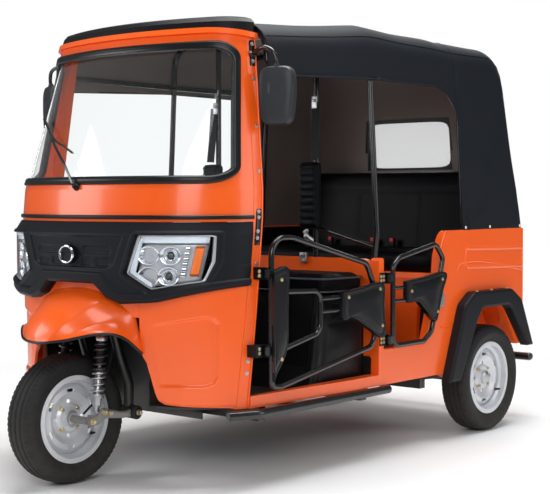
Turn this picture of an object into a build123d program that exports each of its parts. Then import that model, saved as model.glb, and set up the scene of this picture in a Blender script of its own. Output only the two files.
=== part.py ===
from build123d import *
from math import cos, radians, sin, sqrt
import os

os.makedirs("parts", exist_ok=True)

# Auto rickshaw: a three-wheeled passenger taxi. Millimetres, +Z up, nose towards -Y,
# the vehicle's left side towards +X, origin on the ground under the middle of the outline.

# ---- driving dimensions -------------------------------------------------------------
WHEELBASE = 2000
TYRE_RADIUS = 247
TYRE_WIDTH = 135
RIM_FLANGE_RADIUS = 167.5
RIM_WIDTH = 104
REAR_TRACK = 1224
REAR_OVERHANG = 470
CAB_HALF_WIDTH = 600
BODY_HALF_WIDTH = 640
SKIN = 25
PILLAR_DEPTH = 40
PILLAR_WIDTH = 46
SIDE_PANEL = 40
SILL_BOTTOM = 300
SILL_TOP = 345
BELT_Z = 1008
BELT_HEIGHT = 12
BAND_TOP = 998
QUARTER_TOP = 939
LIP_TOP = 1733
LIP_HEIGHT = 21
DOOR_TUBE = 22
DOOR_GAP = 7
FRAME_TUBE = 25
STEP_TUBE = 36
BUMPER_TUBE = 40
SEAT_GAP = 0.3
POST_TO_FRONT_AXLE = 1150
POST_WIDTH = 35
RAIL_HALF_SPACING = 300
RAIL_WIDTH = 40
RAIL_HEIGHT = 60
FLOOR = 6
CAB_FLOOR_Z = 300
CABIN_FLOOR_Z = 420
POST_TOP = 835
PARTITION_TOP = 830

FRONT_AXLE_Y = -(TYRE_RADIUS + WHEELBASE + REAR_OVERHANG) / 2 + TYRE_RADIUS
REAR_AXLE_Y = FRONT_AXLE_Y + WHEELBASE
POST_Y = FRONT_AXLE_Y + POST_TO_FRONT_AXLE
TAIL_Y = REAR_AXLE_Y + 350
TAIL_HALF = BODY_HALF_WIDTH - SIDE_PANEL
RAIL_Z = CAB_FLOOR_Z - RAIL_HEIGHT
DOOR_X = BODY_HALF_WIDTH + DOOR_GAP + DOOR_TUBE / 2


def front(back):
    """Y of a station that lies this far behind the front axle."""
    return FRONT_AXLE_Y + back


def rear(back):
    """Y of a station that lies this far behind the rear axle."""
    return REAR_AXLE_Y + back


# ---- drawing helpers ----------------------------------------------------------------
def box(x0, x1, y0, y1, z0, z1):
    """Block between two corners."""
    size = (x1 - x0, y1 - y0, z1 - z0)
    return Pos((x0 + x1) / 2, (y0 + y1) / 2, (z0 + z1) / 2) * Box(*size)


def outline(points, radii=0):
    """Closed face through the points, with one corner radius or one for each point."""
    flat = [(u, v, 0) for u, v in points]
    if radii == 0:
        return make_face(Polyline(*flat, close=True))
    return make_face(FilletPolyline(*flat, radius=radii, close=True))


def along_x(points, x0, x1, radii=0):
    """Prism of a (y, z) outline between two x."""
    plane = Plane(origin=(x0, 0, 0), x_dir=(0, 1, 0), z_dir=(1, 0, 0))
    return extrude(plane * outline(points, radii), amount=x1 - x0)


def along_y(points, y0, y1, radii=0):
    """Prism of an (x, z) outline between two y."""
    plane = Plane(origin=(0, y1, 0), x_dir=(1, 0, 0), z_dir=(0, -1, 0))
    return extrude(plane * outline(points, radii), amount=y1 - y0)


def along_z(points, z0, z1, radii=0):
    """Prism of an (x, y) outline between two z."""
    return extrude(Pos(0, 0, z0) * outline(points, radii), amount=z1 - z0)


def tube(points, radius, bend=0):
    """Round bar along a route of straight runs, with bends of one radius."""
    if len(points) == 2 or bend == 0:
        path = Polyline(*points)
    else:
        path = FilletPolyline(*points, radius=bend)
    plane = Plane(origin=path @ 0, z_dir=path % 0)
    return sweep(plane * Circle(radius), path=path, transition=Transition.ROUND)


def hoop(points, radius, bends):
    """Closed round bar in two halves that meet in the middle of two straight runs."""
    count = len(points)
    half = count // 2
    middle_first = (Vector(*points[-1]) + Vector(*points[0])) / 2
    middle_last = (Vector(*points[half - 1]) + Vector(*points[half])) / 2
    out = [middle_first, *points[:half], middle_last]
    back = [middle_last, *points[half:], middle_first]
    bars = []
    for route, radii in ((out, bends[:half]), (back, bends[half:])):
        path = FilletPolyline(*route, radius=radii)
        plane = Plane(origin=path @ 0, z_dir=path % 0)
        bars.append(sweep(plane * Circle(radius), path=path))
    return bars[0] + bars[1]


def bar(start, end, radius):
    """Straight round bar between two points."""
    first = Vector(*start)
    run = Vector(*end) - first
    return extrude(Plane(origin=first, z_dir=run) * Circle(radius), amount=run.length)


def ring_x(profile, x=0, y=0, z=0):
    """Body turned about an axis along X through (x, y, z); profile is (x, r)."""
    plane = Plane(origin=(x, y, z), x_dir=(1, 0, 0), z_dir=(0, 1, 0))
    return revolve(plane * outline([(u, -v) for u, v in profile]), Axis((x, y, z), (1, 0, 0)))


def both(shape):
    """The shape and its mirror image across the middle plane, as one node."""
    return Compound([*shape.solids(), *mirror(shape, about=Plane.YZ).solids()])


def keep(name, shape):
    """Write one node."""
    shape.label = name
    export_step(shape, f"parts/{name}.step")


# ---- cab front: a D-shaped plan that changes with height ------------------------------
CROWN_RADIUS = 1200
NOSE_REAR = 700
# z, apex behind the front axle, half width, corner radius
NOSE = [
    (CAB_FLOOR_Z, 75, CAB_HALF_WIDTH + 20, 367),
    (BELT_Z, 55, CAB_HALF_WIDTH, 367),
    (1120, 66, CAB_HALF_WIDTH - 5, 360),
    (1745, 297, CAB_HALF_WIDTH - 80, 147),
]
# The black band round the nose stands proud of it, with a chamfer along its top
BAND = [
    (660, 20, CAB_HALF_WIDTH + 7, 367),
    (953, 14, CAB_HALF_WIDTH + 4, 367),
    (BAND_TOP, 47, CAB_HALF_WIDTH, 367),
]
# The headlights' own face, a little fuller at the corners
LAMP_FACE = [(660, 38, CAB_HALF_WIDTH + 7, 320), (BELT_Z, 32, CAB_HALF_WIDTH, 320)]


def nose_face(row, inset):
    """Plan of the cab front at one height, moved in by the inset."""
    z, apex_back, half_width, corner = row
    apex = front(apex_back) + inset
    crown = CROWN_RADIUS - inset
    half = half_width - inset
    corner = corner - inset
    corner_x = half - corner
    corner_y = apex + crown - sqrt((crown - corner) ** 2 - corner_x**2)
    away = Vector(corner_x, corner_y - apex - crown).normalized()
    touch = Vector(0, apex + crown) + away * crown
    middle = Vector(corner_x, corner_y) + (away + Vector(1, 0)).normalized() * corner
    back = front(NOSE_REAR)
    edges = [
        Line((half, back), (half, corner_y)),
        ThreePointArc((half, corner_y), (middle.X, middle.Y), (touch.X, touch.Y)),
        ThreePointArc((touch.X, touch.Y), (0, apex), (-touch.X, touch.Y)),
        ThreePointArc((-touch.X, touch.Y), (-middle.X, middle.Y), (-half, corner_y)),
        Line((-half, corner_y), (-half, back)),
        Line((-half, back), (half, back)),
    ]
    return Pos(0, 0, z) * make_face(edges)


def stack(faces):
    """Solid through the faces in turn, with straight sides from each to the next."""
    solid = loft([faces[0], faces[1]], ruled=True)
    for near, far in zip(faces[1:-1], faces[2:]):
        solid += loft([near, far], ruled=True)
    return solid


def nose(inset):
    """Solid cab front from the floor to the roof lip, moved in by the inset."""
    return stack([nose_face(row, inset) for row in NOSE])


def lamp_face(inset):
    """Solid behind the headlights' face, moved in by the inset."""
    return stack([nose_face(row, inset) for row in LAMP_FACE])


NOSE_OUTER = nose(0)
NOSE_PROUD = nose(-8)
NOSE_INNER = nose(SKIN)
NOSE_DEEP = nose(PILLAR_DEPTH)

# The rear edge of the cab front leans: z, y of the edge
EDGE = [(SILL_BOTTOM, front(366)), (BELT_Z, front(452)), (LIP_TOP, front(499))]


def ahead_of_edge(gap):
    """Space in front of the door edge, less a gap."""
    low, belt, top = [(y - gap, z) for z, y in EDGE]
    far = front(-400)
    points = [(far, SILL_BOTTOM - 50), (low[0], SILL_BOTTOM - 50), low, belt, top]
    points += [(top[0], LIP_TOP + 60), (far, LIP_TOP + 60)]
    return along_x(points, -900, 900)


def edge_y(z):
    """Y of the door edge of the cab front at a height."""
    for (z0, y0), (z1, y1) in zip(EDGE, EDGE[1:]):
        if z <= z1:
            break
    return y0 + (y1 - y0) * (z - z0) / (z1 - z0)


CAB_ROOF_REAR = front(500)
LIP_LEVEL = front(350)
LIP_FALL = 19


def under_roof(drop):
    """Space under the roof line, which falls a little towards the rear, lowered by the drop."""
    level = LIP_TOP - drop
    points = [(front(-200), 200), (front(-200), level), (LIP_LEVEL, level)]
    points += [(CAB_ROOF_REAR, level - LIP_FALL), (CAB_ROOF_REAR, 200)]
    return along_x(points, -900, 900)


AHEAD = ahead_of_edge(0)
AHEAD_OF_PILLARS = ahead_of_edge(PILLAR_WIDTH)

# Windshield, seen from the front: half width and z of its corners, corner radii
SEAL_OUT_BOTTOM = (577, 1139)
SEAL_OUT_TOP = (511, 1682)
SEAL_SIDE = 27
SEAL_WIDTH = 31
SEAL_CORNERS = [75, 75, 75, 75]


def screen(side, edge):
    """Windshield outline seen from the front, moved in at the sides and at top and bottom."""
    low_x, low_z = SEAL_OUT_BOTTOM
    high_x, high_z = SEAL_OUT_TOP
    points = [(low_x - side, low_z + edge), (-low_x + side, low_z + edge)]
    points += [(-high_x + side, high_z - edge), (high_x - side, high_z - edge)]
    return along_y(points, front(-100), front(520), SEAL_CORNERS)


a_pillars = (NOSE_OUTER - NOSE_DEEP) & (AHEAD - AHEAD_OF_PILLARS)
a_pillars = a_pillars & under_roof(LIP_HEIGHT)
keep("a_pillars", Compound(a_pillars.solids()))

cowl_space = box(-900, 900, front(-100), front(600), BAND_TOP, LIP_TOP)
cowl_space = cowl_space & under_roof(LIP_HEIGHT)
front_cowl = ((NOSE_OUTER - NOSE_DEEP) & AHEAD_OF_PILLARS & cowl_space) - screen(0, 0)
keep("front_cowl", front_cowl)

seal_space = screen(0, 0) - screen(SEAL_SIDE, SEAL_WIDTH)
windshield_seal = (NOSE_PROUD - NOSE_INNER) & seal_space & AHEAD_OF_PILLARS
keep("windshield_seal", windshield_seal)

GLASS_IN, GLASS_OUT = 10, 16
windshield = (nose(GLASS_IN) - nose(GLASS_OUT)) & screen(SEAL_SIDE, SEAL_WIDTH)
keep("windshield", windshield)

belt_space = box(-900, 900, front(-100), front(600), BELT_Z, BELT_Z + BELT_HEIGHT)
belt_strip = (NOSE_PROUD - NOSE_OUTER) & belt_space & AHEAD_OF_PILLARS
keep("belt_strip", belt_strip)

# Lower edge of the black grille panel, seen from the front: half width, z
GRILLE_EDGE = [(0, 766), (128, 766), (187, 716), (254, 693), (376, 701), (525, 739), (700, 785)]


def under_grille(top_gap):
    """Outline points of the grille's lower edge, right to left."""
    right = [(x, z - top_gap) for x, z in reversed(GRILLE_EDGE)]
    left = [(-x, z - top_gap) for x, z in GRILLE_EDGE[1:]]
    return right + left


grille_points = under_grille(0) + [(-700, BAND_TOP), (700, BAND_TOP)]
grille_space = along_y(grille_points, front(-100), front(600))

# Headlight outline seen from the front, on the left side: x, z
LAMP = [(319, 950), (267, 808), (370, 748), (537, 779), (555, 852), (561, 951)]
LAMP_CORNERS = [14, 10, 14, 26, 60, 14]
LAMP_DEPTH = 70
LAMP_WALL = 4
LENS = 3
lamp_space = along_y(LAMP, front(-100), front(420), LAMP_CORNERS)
lamp_plane = Plane(origin=(0, front(420), 0), x_dir=(1, 0, 0), z_dir=(0, -1, 0))
lamp_hollow = extrude(lamp_plane * offset(outline(LAMP, LAMP_CORNERS), amount=-LAMP_WALL), amount=520)
lamp_zone = lamp_space & ahead_of_edge(PILLAR_WIDTH + 2)
lamp_block = (lamp_face(0) - lamp_face(LAMP_DEPTH)) & lamp_zone
lamp_room = (lamp_face(0) - lamp_face(LAMP_DEPTH - LAMP_WALL)) & lamp_hollow
headlight_housing = lamp_block - lamp_room
keep("headlight_housings", both(headlight_housing.solids().sort_by(SortBy.VOLUME)[-1]))
headlight_lens = (lamp_face(0) - lamp_face(LENS)) & lamp_hollow & ahead_of_edge(PILLAR_WIDTH + 2 + LAMP_WALL)
keep("headlight_lenses", both(headlight_lens.solids().sort_by(SortBy.VOLUME)[-1]))

band = stack([nose_face(row, 0) for row in BAND])
grille_panel = (band - NOSE_INNER) & grille_space & AHEAD_OF_PILLARS
grille_panel = grille_panel - lamp_space - mirror(lamp_space, about=Plane.YZ)
keep("grille_panel", grille_panel)

# Inner lower edge of the leg shields, seen from the front: half width, z
SHIELD_EDGE = [(330, 640), (330, 500), (350, 440), (386, 376), (430, 326), (500, SILL_BOTTOM)]
shield_points = [(700, SILL_BOTTOM)] + under_grille(0) + [(-700, SILL_BOTTOM)]
shield_points += [(-x, z) for x, z in reversed(SHIELD_EDGE)] + SHIELD_EDGE
leg_shields = (NOSE_OUTER - NOSE_INNER) & AHEAD_OF_PILLARS
leg_shields = leg_shields & along_y(shield_points, front(-100), front(600))
keep("leg_shields", leg_shields)

roof_lip = (nose(-14) - NOSE_DEEP) & (under_roof(0) - under_roof(LIP_HEIGHT))
keep("roof_lip", roof_lip)

# Moulded roof visor: a cap with an upright front and a rounded shoulder
# z, apex behind the front axle, half width, corner radius
VISOR = [
    (1690, 274, CAB_HALF_WIDTH - 70, 155),
    (1757, 298, CAB_HALF_WIDTH - 79, 147),
    (1772, 312, CAB_HALF_WIDTH - 94, 132),
    (1780, 336, CAB_HALF_WIDTH - 122, 106),
    (1795, 470, CAB_HALF_WIDTH - 220, 40),
]
VISOR_WALL = 14


def visor(inset, drop):
    """Solid under the visor's outer face, moved in and down."""
    return stack([Pos(0, 0, -drop) * nose_face(row, inset) for row in VISOR])


visor_space = box(-900, 900, front(0), CAB_ROOF_REAR, 1700, 1900) - under_roof(0)
visor_room = box(-900, 900, front(0), CAB_ROOF_REAR - VISOR_WALL, 1680, 1900)
roof_visor = (visor(0, 0) & visor_space) - (visor(VISOR_WALL, VISOR_WALL) & visor_room)
keep("roof_visor", roof_visor.solids().sort_by(SortBy.VOLUME)[-1])

# ---- front fender: sections across, lofted towards the tip ---------------------------
# back from the front axle, half width, shoulder half width, top z, bottom z
FENDER = [
    (170, 312, 176, 756, 486),
    (75, 302, 168, 742, 536),
    (0, 246, 140, 716, 590),
    (-70, 170, 108, 674, 574),
    (-120, 104, 76, 626, 557),
    (-150, 42, 30, 590, 546),
]
FENDER_WALL = 12


def fender_face(row, inset):
    """Arched section of the fender at one station."""
    back, half, shoulder, top, bottom = row
    half = half - inset
    shoulder = shoulder - inset / 2
    top = top - inset
    bulge = ((half * 2 + shoulder) / 3, bottom + (top - bottom) * 0.72)
    low = bottom - 1 - inset
    edges = [
        Line((half, low), (half, bottom)),
        ThreePointArc((half, bottom), bulge, (shoulder, top - 8)),
        ThreePointArc((shoulder, top - 8), (0, top), (-shoulder, top - 8)),
        ThreePointArc((-shoulder, top - 8), (-bulge[0], bulge[1]), (-half, bottom)),
        Line((-half, bottom), (-half, low)),
        Line((-half, low), (half, low)),
    ]
    plane = Plane(origin=(0, front(back), 0), x_dir=(1, 0, 0), z_dir=(0, -1, 0))
    return plane * make_face(edges)


def fender_body(inset, setback):
    """Solid fender, moved in by the inset and back at the tip."""
    rows = FENDER[:-1] + [(FENDER[-1][0] + setback, *FENDER[-1][1:])]
    return stack([fender_face(row, inset) for row in rows])


ahead_of_nose = box(-400, 400, front(-300), front(165), 400, 800) - NOSE_OUTER
front_fender = (fender_body(0, 0) - fender_body(FENDER_WALL, FENDER_WALL)) & ahead_of_nose
front_fender = front_fender - (band & grille_space)
keep("front_fender", front_fender.solids().sort_by(SortBy.VOLUME)[-1])

# ---- steering axis -------------------------------------------------------------------
RAKE = 18
STEER_Y_AT_GROUND = front(-69)
STEER_DIR = Vector(0, sin(radians(RAKE)), cos(radians(RAKE)))


def steer(z):
    """Point of the steering axis at a height."""
    return Vector(0, STEER_Y_AT_GROUND + z * sin(radians(RAKE)) / cos(radians(RAKE)), z)


COLUMN_RADIUS = 20
HEAD_RADIUS = 34
HEAD_BOTTOM, HEAD_TOP = 650, 820
CROWN_Z = 600
BAR_Z = 1030


def coaxial(z0, z1, radius):
    """Round bar on the steering axis between two heights."""
    return bar(tuple(steer(z0)), tuple(steer(z1)), radius)


# ---- front wheel arch, floor and chassis ----------------------------------------------
ARCH_HALF = 300
ARCH_WALL = 8
ARCH_REAR = front(440)
ARCH_FRONT = front(150)
ARCH_TOP = 640
# Side view of the arch, whose lower edge falls towards the rear: y, z
ARCH = [(ARCH_FRONT, 285), (ARCH_REAR, 215), (ARCH_REAR, ARCH_TOP), (ARCH_FRONT, ARCH_TOP)]
arch = along_x(ARCH, -ARCH_HALF, ARCH_HALF)
inner_half = ARCH_HALF - ARCH_WALL
arch_room = box(-inner_half, inner_half, front(-100), ARCH_REAR - ARCH_WALL, 100, ARCH_TOP - ARCH_WALL)
toe_floor = box(-900, 900, front(150), ARCH_REAR, CAB_FLOOR_Z, CAB_FLOOR_Z + ARCH_WALL)
toe_floor = toe_floor & nose(SKIN + SEAT_GAP)
toe_floor = toe_floor & ahead_of_edge(PILLAR_WIDTH + 1)
front_wheel_arch = arch + toe_floor - arch_room
under_floor = box(-900, 900, front(150), ARCH_REAR, 100, CAB_FLOOR_Z)
front_wheel_arch = front_wheel_arch & (nose(SKIN + SEAT_GAP) + under_floor)
front_wheel_arch -= coaxial(500, 760, COLUMN_RADIUS + 14)
keep("front_wheel_arch", front_wheel_arch)

FLOOR_HALF = BODY_HALF_WIDTH - 50
POST_REAR = POST_Y + POST_WIDTH
floor = box(-FLOOR_HALF, FLOOR_HALF, ARCH_REAR, POST_Y + FLOOR, CAB_FLOOR_Z, CAB_FLOOR_Z + FLOOR)
floor += box(-FLOOR_HALF, FLOOR_HALF, POST_Y, POST_Y + FLOOR, CAB_FLOOR_Z, CABIN_FLOOR_Z)
RAMP_FRONT = rear(-360)
floor += box(-FLOOR_HALF, FLOOR_HALF, POST_Y, RAMP_FRONT, CABIN_FLOOR_Z - FLOOR, CABIN_FLOOR_Z)
PARTITION_Y = POST_Y + FLOOR
floor -= box(-900, 900, PARTITION_Y, POST_REAR, CABIN_FLOOR_Z - FLOOR, CABIN_FLOOR_Z + 1)
keep("floor_pan", floor)

# Wheel boxes inside the body keep clear of the rear tyres
WHEEL_X = REAR_TRACK / 2
HOUSE_IN = WHEEL_X - TYRE_WIDTH / 2 - 45
HOUSE_WALL = 6

# Side view of a rail, which rises over the rear axle: y, z
KICK = 100
RAIL_END = TAIL_Y - SIDE_PANEL
RAIL = [
    (ARCH_REAR, RAIL_Z), (rear(-420), RAIL_Z), (rear(-290), RAIL_Z + KICK), (RAIL_END, RAIL_Z + KICK),
    (RAIL_END, CAB_FLOOR_Z + KICK), (rear(-310), CAB_FLOOR_Z + KICK), (rear(-440), CAB_FLOOR_Z),
    (ARCH_REAR, CAB_FLOOR_Z),
]
rail = along_x(RAIL, RAIL_HALF_SPACING - RAIL_WIDTH / 2, RAIL_HALF_SPACING + RAIL_WIDTH / 2)
BEAM = 40
AXLE_BEAM_Y = rear(-470)
# Cross beams: y of the front face, half length, lower and upper z
BEAMS = [
    (ARCH_REAR, FLOOR_HALF, RAIL_Z, CAB_FLOOR_Z),
    (POST_Y - 60, FLOOR_HALF, RAIL_Z, CAB_FLOOR_Z),
    (POST_Y + 60, FLOOR_HALF, CABIN_FLOOR_Z - FLOOR - BEAM, CABIN_FLOOR_Z - FLOOR),
    (AXLE_BEAM_Y, FLOOR_HALF, RAIL_Z, CAB_FLOOR_Z),
    (AXLE_BEAM_Y, FLOOR_HALF, CABIN_FLOOR_Z - FLOOR - BEAM, CABIN_FLOOR_Z - FLOOR),
    (rear(-20), 470, 640, 680),
    (rear(90), RAIL_HALF_SPACING, RAIL_Z + KICK, CAB_FLOOR_Z + KICK),
    (RAIL_END - BEAM, HOUSE_IN - HOUSE_WALL - 6, RAIL_Z + KICK, CAB_FLOOR_Z + KICK),
]
# Uprights on the rails: y of the front face, lower and upper z
UPRIGHTS = [
    (POST_Y + 60, CAB_FLOOR_Z, CABIN_FLOOR_Z - FLOOR),
    (AXLE_BEAM_Y, CAB_FLOOR_Z, CABIN_FLOOR_Z - FLOOR),
    (rear(-20), CAB_FLOOR_Z + KICK, 640),
]
chassis = rail + mirror(rail, about=Plane.YZ)
for y, half, low, high in BEAMS:
    chassis += box(-half, half, y, y + BEAM, low, high)
for y, low, high in UPRIGHTS:
    for x in (-RAIL_HALF_SPACING, RAIL_HALF_SPACING):
        chassis += box(x - RAIL_WIDTH / 2, x + RAIL_WIDTH / 2, y, y + BEAM, low, high)
keep("chassis_frame", chassis)

NECK_X = 150
NECK_R = 16
NECK_Y = ARCH_REAR + NECK_R + 6
NECK_Z = 700
neck = tube([(HEAD_RADIUS - 8, steer(NECK_Z).Y, NECK_Z), (NECK_X, NECK_Y, NECK_Z)], NECK_R)
neck += Pos(NECK_X, NECK_Y, NECK_Z) * Sphere(NECK_R)
neck_leg = bar((NECK_X, NECK_Y, CAB_FLOOR_Z + FLOOR), (NECK_X, NECK_Y, NECK_Z), NECK_R)
neck_frame = neck + neck_leg
neck_frame = neck_frame + mirror(neck_frame, about=Plane.YZ) + coaxial(HEAD_BOTTOM, HEAD_TOP, HEAD_RADIUS)
neck_frame -= coaxial(HEAD_BOTTOM - 60, HEAD_TOP + 60, COLUMN_RADIUS + SEAT_GAP)
keep("head_frame", neck_frame)

# ---- sills, posts, partition and rear panels --------------------------------------------
SILL_IN = FLOOR_HALF
sill_front = edge_y(SILL_TOP)
sill_points = [(SILL_IN, sill_front), (CAB_HALF_WIDTH + 12, sill_front), (BODY_HALF_WIDTH, POST_Y - 200)]
sill_points += [(BODY_HALF_WIDTH, POST_Y), (SILL_IN, POST_Y)]
side_sill = along_z(sill_points, SILL_BOTTOM, SILL_TOP)
keep("side_sills", both(side_sill))

post = box(BODY_HALF_WIDTH - SIDE_PANEL, BODY_HALF_WIDTH, POST_Y, POST_REAR, SILL_BOTTOM, POST_TOP)
post = fillet(post.edges().filter_by(Axis.X).sort_by(Axis.Z)[-2:], 12)
keep("door_posts", both(post))

PARTITION_LOW = CABIN_FLOOR_Z - FLOOR
partition_points = [(-CAB_HALF_WIDTH, PARTITION_LOW), (CAB_HALF_WIDTH, PARTITION_LOW)]
partition_points += [(CAB_HALF_WIDTH, PARTITION_TOP), (-CAB_HALF_WIDTH, PARTITION_TOP)]
partition = along_y(partition_points, PARTITION_Y, POST_REAR, [0, 0, 60, 60])
keep("partition", partition)

# Rear quarter seen from the side: y, z; the doorway edge leans back towards the top
DOORWAY_Z = 447
QUARTER = [
    (POST_REAR, SILL_BOTTOM), (rear(-374), SILL_BOTTOM), (rear(-275), 260), (rear(-140), 590),
    (rear(150), 590), (rear(285), 380), (TAIL_Y, 380), (TAIL_Y, QUARTER_TOP),
    (rear(-345), QUARTER_TOP), (rear(-390), 830), (rear(-402), 730), (rear(-495), DOORWAY_Z),
    (POST_REAR, DOORWAY_Z),
]
QUARTER_CORNERS = [0, 0, 0, 70, 70, 0, 0, 0, 60, 0, 0, 50, 0]
quarter = along_x(QUARTER, BODY_HALF_WIDTH - SIDE_PANEL, BODY_HALF_WIDTH, QUARTER_CORNERS)
keep("rear_quarters", both(quarter))

tail_panel = box(-TAIL_HALF, TAIL_HALF, TAIL_Y - SIDE_PANEL, TAIL_Y, 380, QUARTER_TOP)
TAIL_LAMP_X, TAIL_LAMP_Z = 520, 700

# Wheel boxes inside the body, over each rear wheel
HOUSE = [(rear(-300), 200), (rear(-300), 300), (rear(-150), 600), (rear(160), 600), (rear(300), 380), (rear(300), 200)]
HOUSE_OUT = [(rear(-306), 300), (rear(-154), 606), (rear(164), 606), (rear(306), 380)]
house = along_x(HOUSE_OUT, HOUSE_IN - HOUSE_WALL, TAIL_HALF - SEAT_GAP) - along_x(HOUSE, HOUSE_IN, TAIL_HALF + 50)
keep("rear_wheel_boxes", both(house.solids().sort_by(SortBy.VOLUME)[-1]))

# Black flare around the rear wheel: outer and inner outlines, y and z
FLARE_OUT = [(rear(-374), 262), (rear(-244), 602), (rear(-160), 657), (rear(170), 657), (rear(262), 603), (rear(377), 370)]
FLARE_IN = [(rear(330), 370), (rear(168), 560), (rear(140), 580), (rear(-92), 580), (rear(-142), 520), (rear(-282), 262)]
FLARE_X = BODY_HALF_WIDTH + 50
FLARE_CORNERS = [0, 60, 50, 70, 60, 0, 0, 20, 30, 30, 40, 0]
FLARE_EDGE = 14
flare = along_x(FLARE_OUT + FLARE_IN, BODY_HALF_WIDTH + SEAT_GAP, FLARE_X, FLARE_CORNERS)
flare = fillet(flare.faces().sort_by(Axis.X)[-1].edges(), FLARE_EDGE)
keep("wheel_flares", both(flare))

# ---- steps and bumper ---------------------------------------------------------------------
STEP_X = BODY_HALF_WIDTH + 10
STEP_Z = 282
step_points = [(RAIL_HALF_SPACING + 300, front(260), STEP_Z), (STEP_X, front(380), STEP_Z)]
step_points += [(STEP_X, POST_REAR + 20, STEP_Z)]
step = tube(step_points, STEP_TUBE / 2, 60)
for y, half, low, high in BEAMS[:2]:
    step += bar((half, y + BEAM / 2, STEP_Z), (STEP_X, y + BEAM / 2, STEP_Z), 10)
keep("side_steps", both(step))

BUMPER_Y = TAIL_Y + REAR_OVERHANG - 350 - BUMPER_TUBE / 2
BUMPER_Z = 300
BUMPER_HALF = 620
bumper = bar((-BUMPER_HALF, BUMPER_Y, BUMPER_Z), (BUMPER_HALF, BUMPER_Y, BUMPER_Z), BUMPER_TUBE / 2)
for x in (-BUMPER_HALF, BUMPER_HALF):
    bumper += Pos(x, BUMPER_Y, BUMPER_Z) * Sphere(BUMPER_TUBE / 2)
BRACKET_TOP = 379
for x in (-RAIL_HALF_SPACING, RAIL_HALF_SPACING):
    bumper += box(x - 20, x + 20, RAIL_END, BUMPER_Y + 12, BRACKET_TOP - 38, BRACKET_TOP)
    bumper += box(x - 20, x + 20, BUMPER_Y - 12, BUMPER_Y + 12, BUMPER_Z, BRACKET_TOP)
keep("rear_bumper", bumper)

# ---- canopy and its frame -------------------------------------------------------------------
# y, half width at the shoulder, top z
CANOPY = [
    (CAB_ROOF_REAR, 586, 1777),
    (POST_Y + 20, 592, 1838),
    (rear(-340), 594, 1826),
    (rear(50), 594, 1818),
    (TAIL_Y, 594, 1818),
]
CANOPY_LOW = QUARTER_TOP
SHOULDER_R = 120
CROWN_RISE = 16
CROWN_BEND = 4000
CANOPY_WALL = 12
REAR_LEAN = 118
ROLL = 190


def canopy_route(row, inset):
    """Canopy section from the left lower edge over the top to the right, open below."""
    y, half, top = row
    low = BODY_HALF_WIDTH - inset
    half = half - inset
    top = top - inset
    points = [(low, y, CANOPY_LOW), (half, y, top - CROWN_RISE), (0, y, top)]
    points += [(-half, y, top - CROWN_RISE), (-low, y, CANOPY_LOW)]
    return FilletPolyline(*points, radius=[SHOULDER_R - inset, CROWN_BEND, SHOULDER_R - inset])


def canopy_solid(inset):
    """Solid under the canopy's face, moved in by the inset, with its leaning, rounded back."""
    faces = []
    for row in CANOPY:
        route = canopy_route(row, inset)
        faces.append(make_face(route.edges() + [Line(route @ 1, route @ 0)]))
    top = CANOPY[-1][2] - inset
    lean_y = TAIL_Y - REAR_LEAN - inset
    side = [(front(300), CANOPY_LOW), (TAIL_Y - inset, CANOPY_LOW), (lean_y, top)]
    side += [(lean_y - 300, top + 2), (rear(-340), 1930), (front(300), 1930)]
    return stack(faces) & along_x(side, -900, 900, [0, 0, ROLL - inset, 0, 0, 0])


# Side opening of the canopy: y, z, and its corner radii
EDGE_Z = 1583
SIDE_OPENING = [
    (front(300), CANOPY_LOW - 10), (rear(-184), CANOPY_LOW - 10), (rear(-184), EDGE_Z),
    (POST_Y, EDGE_Z), (front(300), 1552),
]
canopy = canopy_solid(0) - canopy_solid(CANOPY_WALL)
canopy = canopy - along_x(SIDE_OPENING, -900, 900, [0, 0, 190, 0, 0])
WINDOW_HALF, WINDOW_LOW, WINDOW_HIGH = 290, 1237, 1476
window_points = [(-WINDOW_HALF, WINDOW_LOW), (WINDOW_HALF, WINDOW_LOW)]
window_points += [(WINDOW_HALF, WINDOW_HIGH), (-WINDOW_HALF, WINDOW_HIGH)]
window_space = along_y(window_points, rear(100), rear(500), 50)
rear_wall = (canopy_solid(4) - canopy_solid(8)) & window_space
keep("rear_window", rear_wall.solids().sort_by(SortBy.VOLUME)[-1])
canopy = canopy - window_space
keep("canopy", canopy.solids().sort_by(SortBy.VOLUME)[-1])

TUBE_R = FRAME_TUBE / 2
HOOP_INSET = CANOPY_WALL + TUBE_R + 2.5


def section_at(y):
    """Canopy section between two stations of the table."""
    for near, far in zip(CANOPY, CANOPY[1:]):
        if y <= far[0]:
            break
    share = (y - near[0]) / (far[0] - near[0])
    return (y, *[a + (b - a) * share for a, b in zip(near[1:], far[1:])])


HOOP_RAIL_Z = 1610
HOOP_RAIL_X = BODY_HALF_WIDTH - HOOP_INSET - 42
FRONT_HOOP_Y = CAB_ROOF_REAR + TUBE_R + 8
LAST_HOOP_Y = rear(20)
# y of each hoop, z of its feet
HOOPS = [
    (FRONT_HOOP_Y, HOOP_RAIL_Z),
    (POST_REAR - TUBE_R - 1, POST_TOP),
    (rear(-345), HOOP_RAIL_Z),
    (rear(-150), QUARTER_TOP),
    (LAST_HOOP_Y, HOOP_RAIL_Z),
]
canopy_frame = None
for y, foot in HOOPS:
    route = canopy_route(section_at(y), HOOP_INSET)
    arch_tube = sweep(Plane(origin=route @ 0, z_dir=route % 0) * Circle(TUBE_R), path=route)
    if foot < QUARTER_TOP:
        x = BODY_HALF_WIDTH - HOOP_INSET
        arch_tube += bar((x, y, CANOPY_LOW), (x - 12, y, foot), TUBE_R)
        arch_tube += bar((-x, y, CANOPY_LOW), (12 - x, y, foot), TUBE_R)
    arch_tube = arch_tube & box(-900, 900, y - 50, y + 50, foot, 1900)
    canopy_frame = arch_tube if canopy_frame is None else canopy_frame + arch_tube
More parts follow.
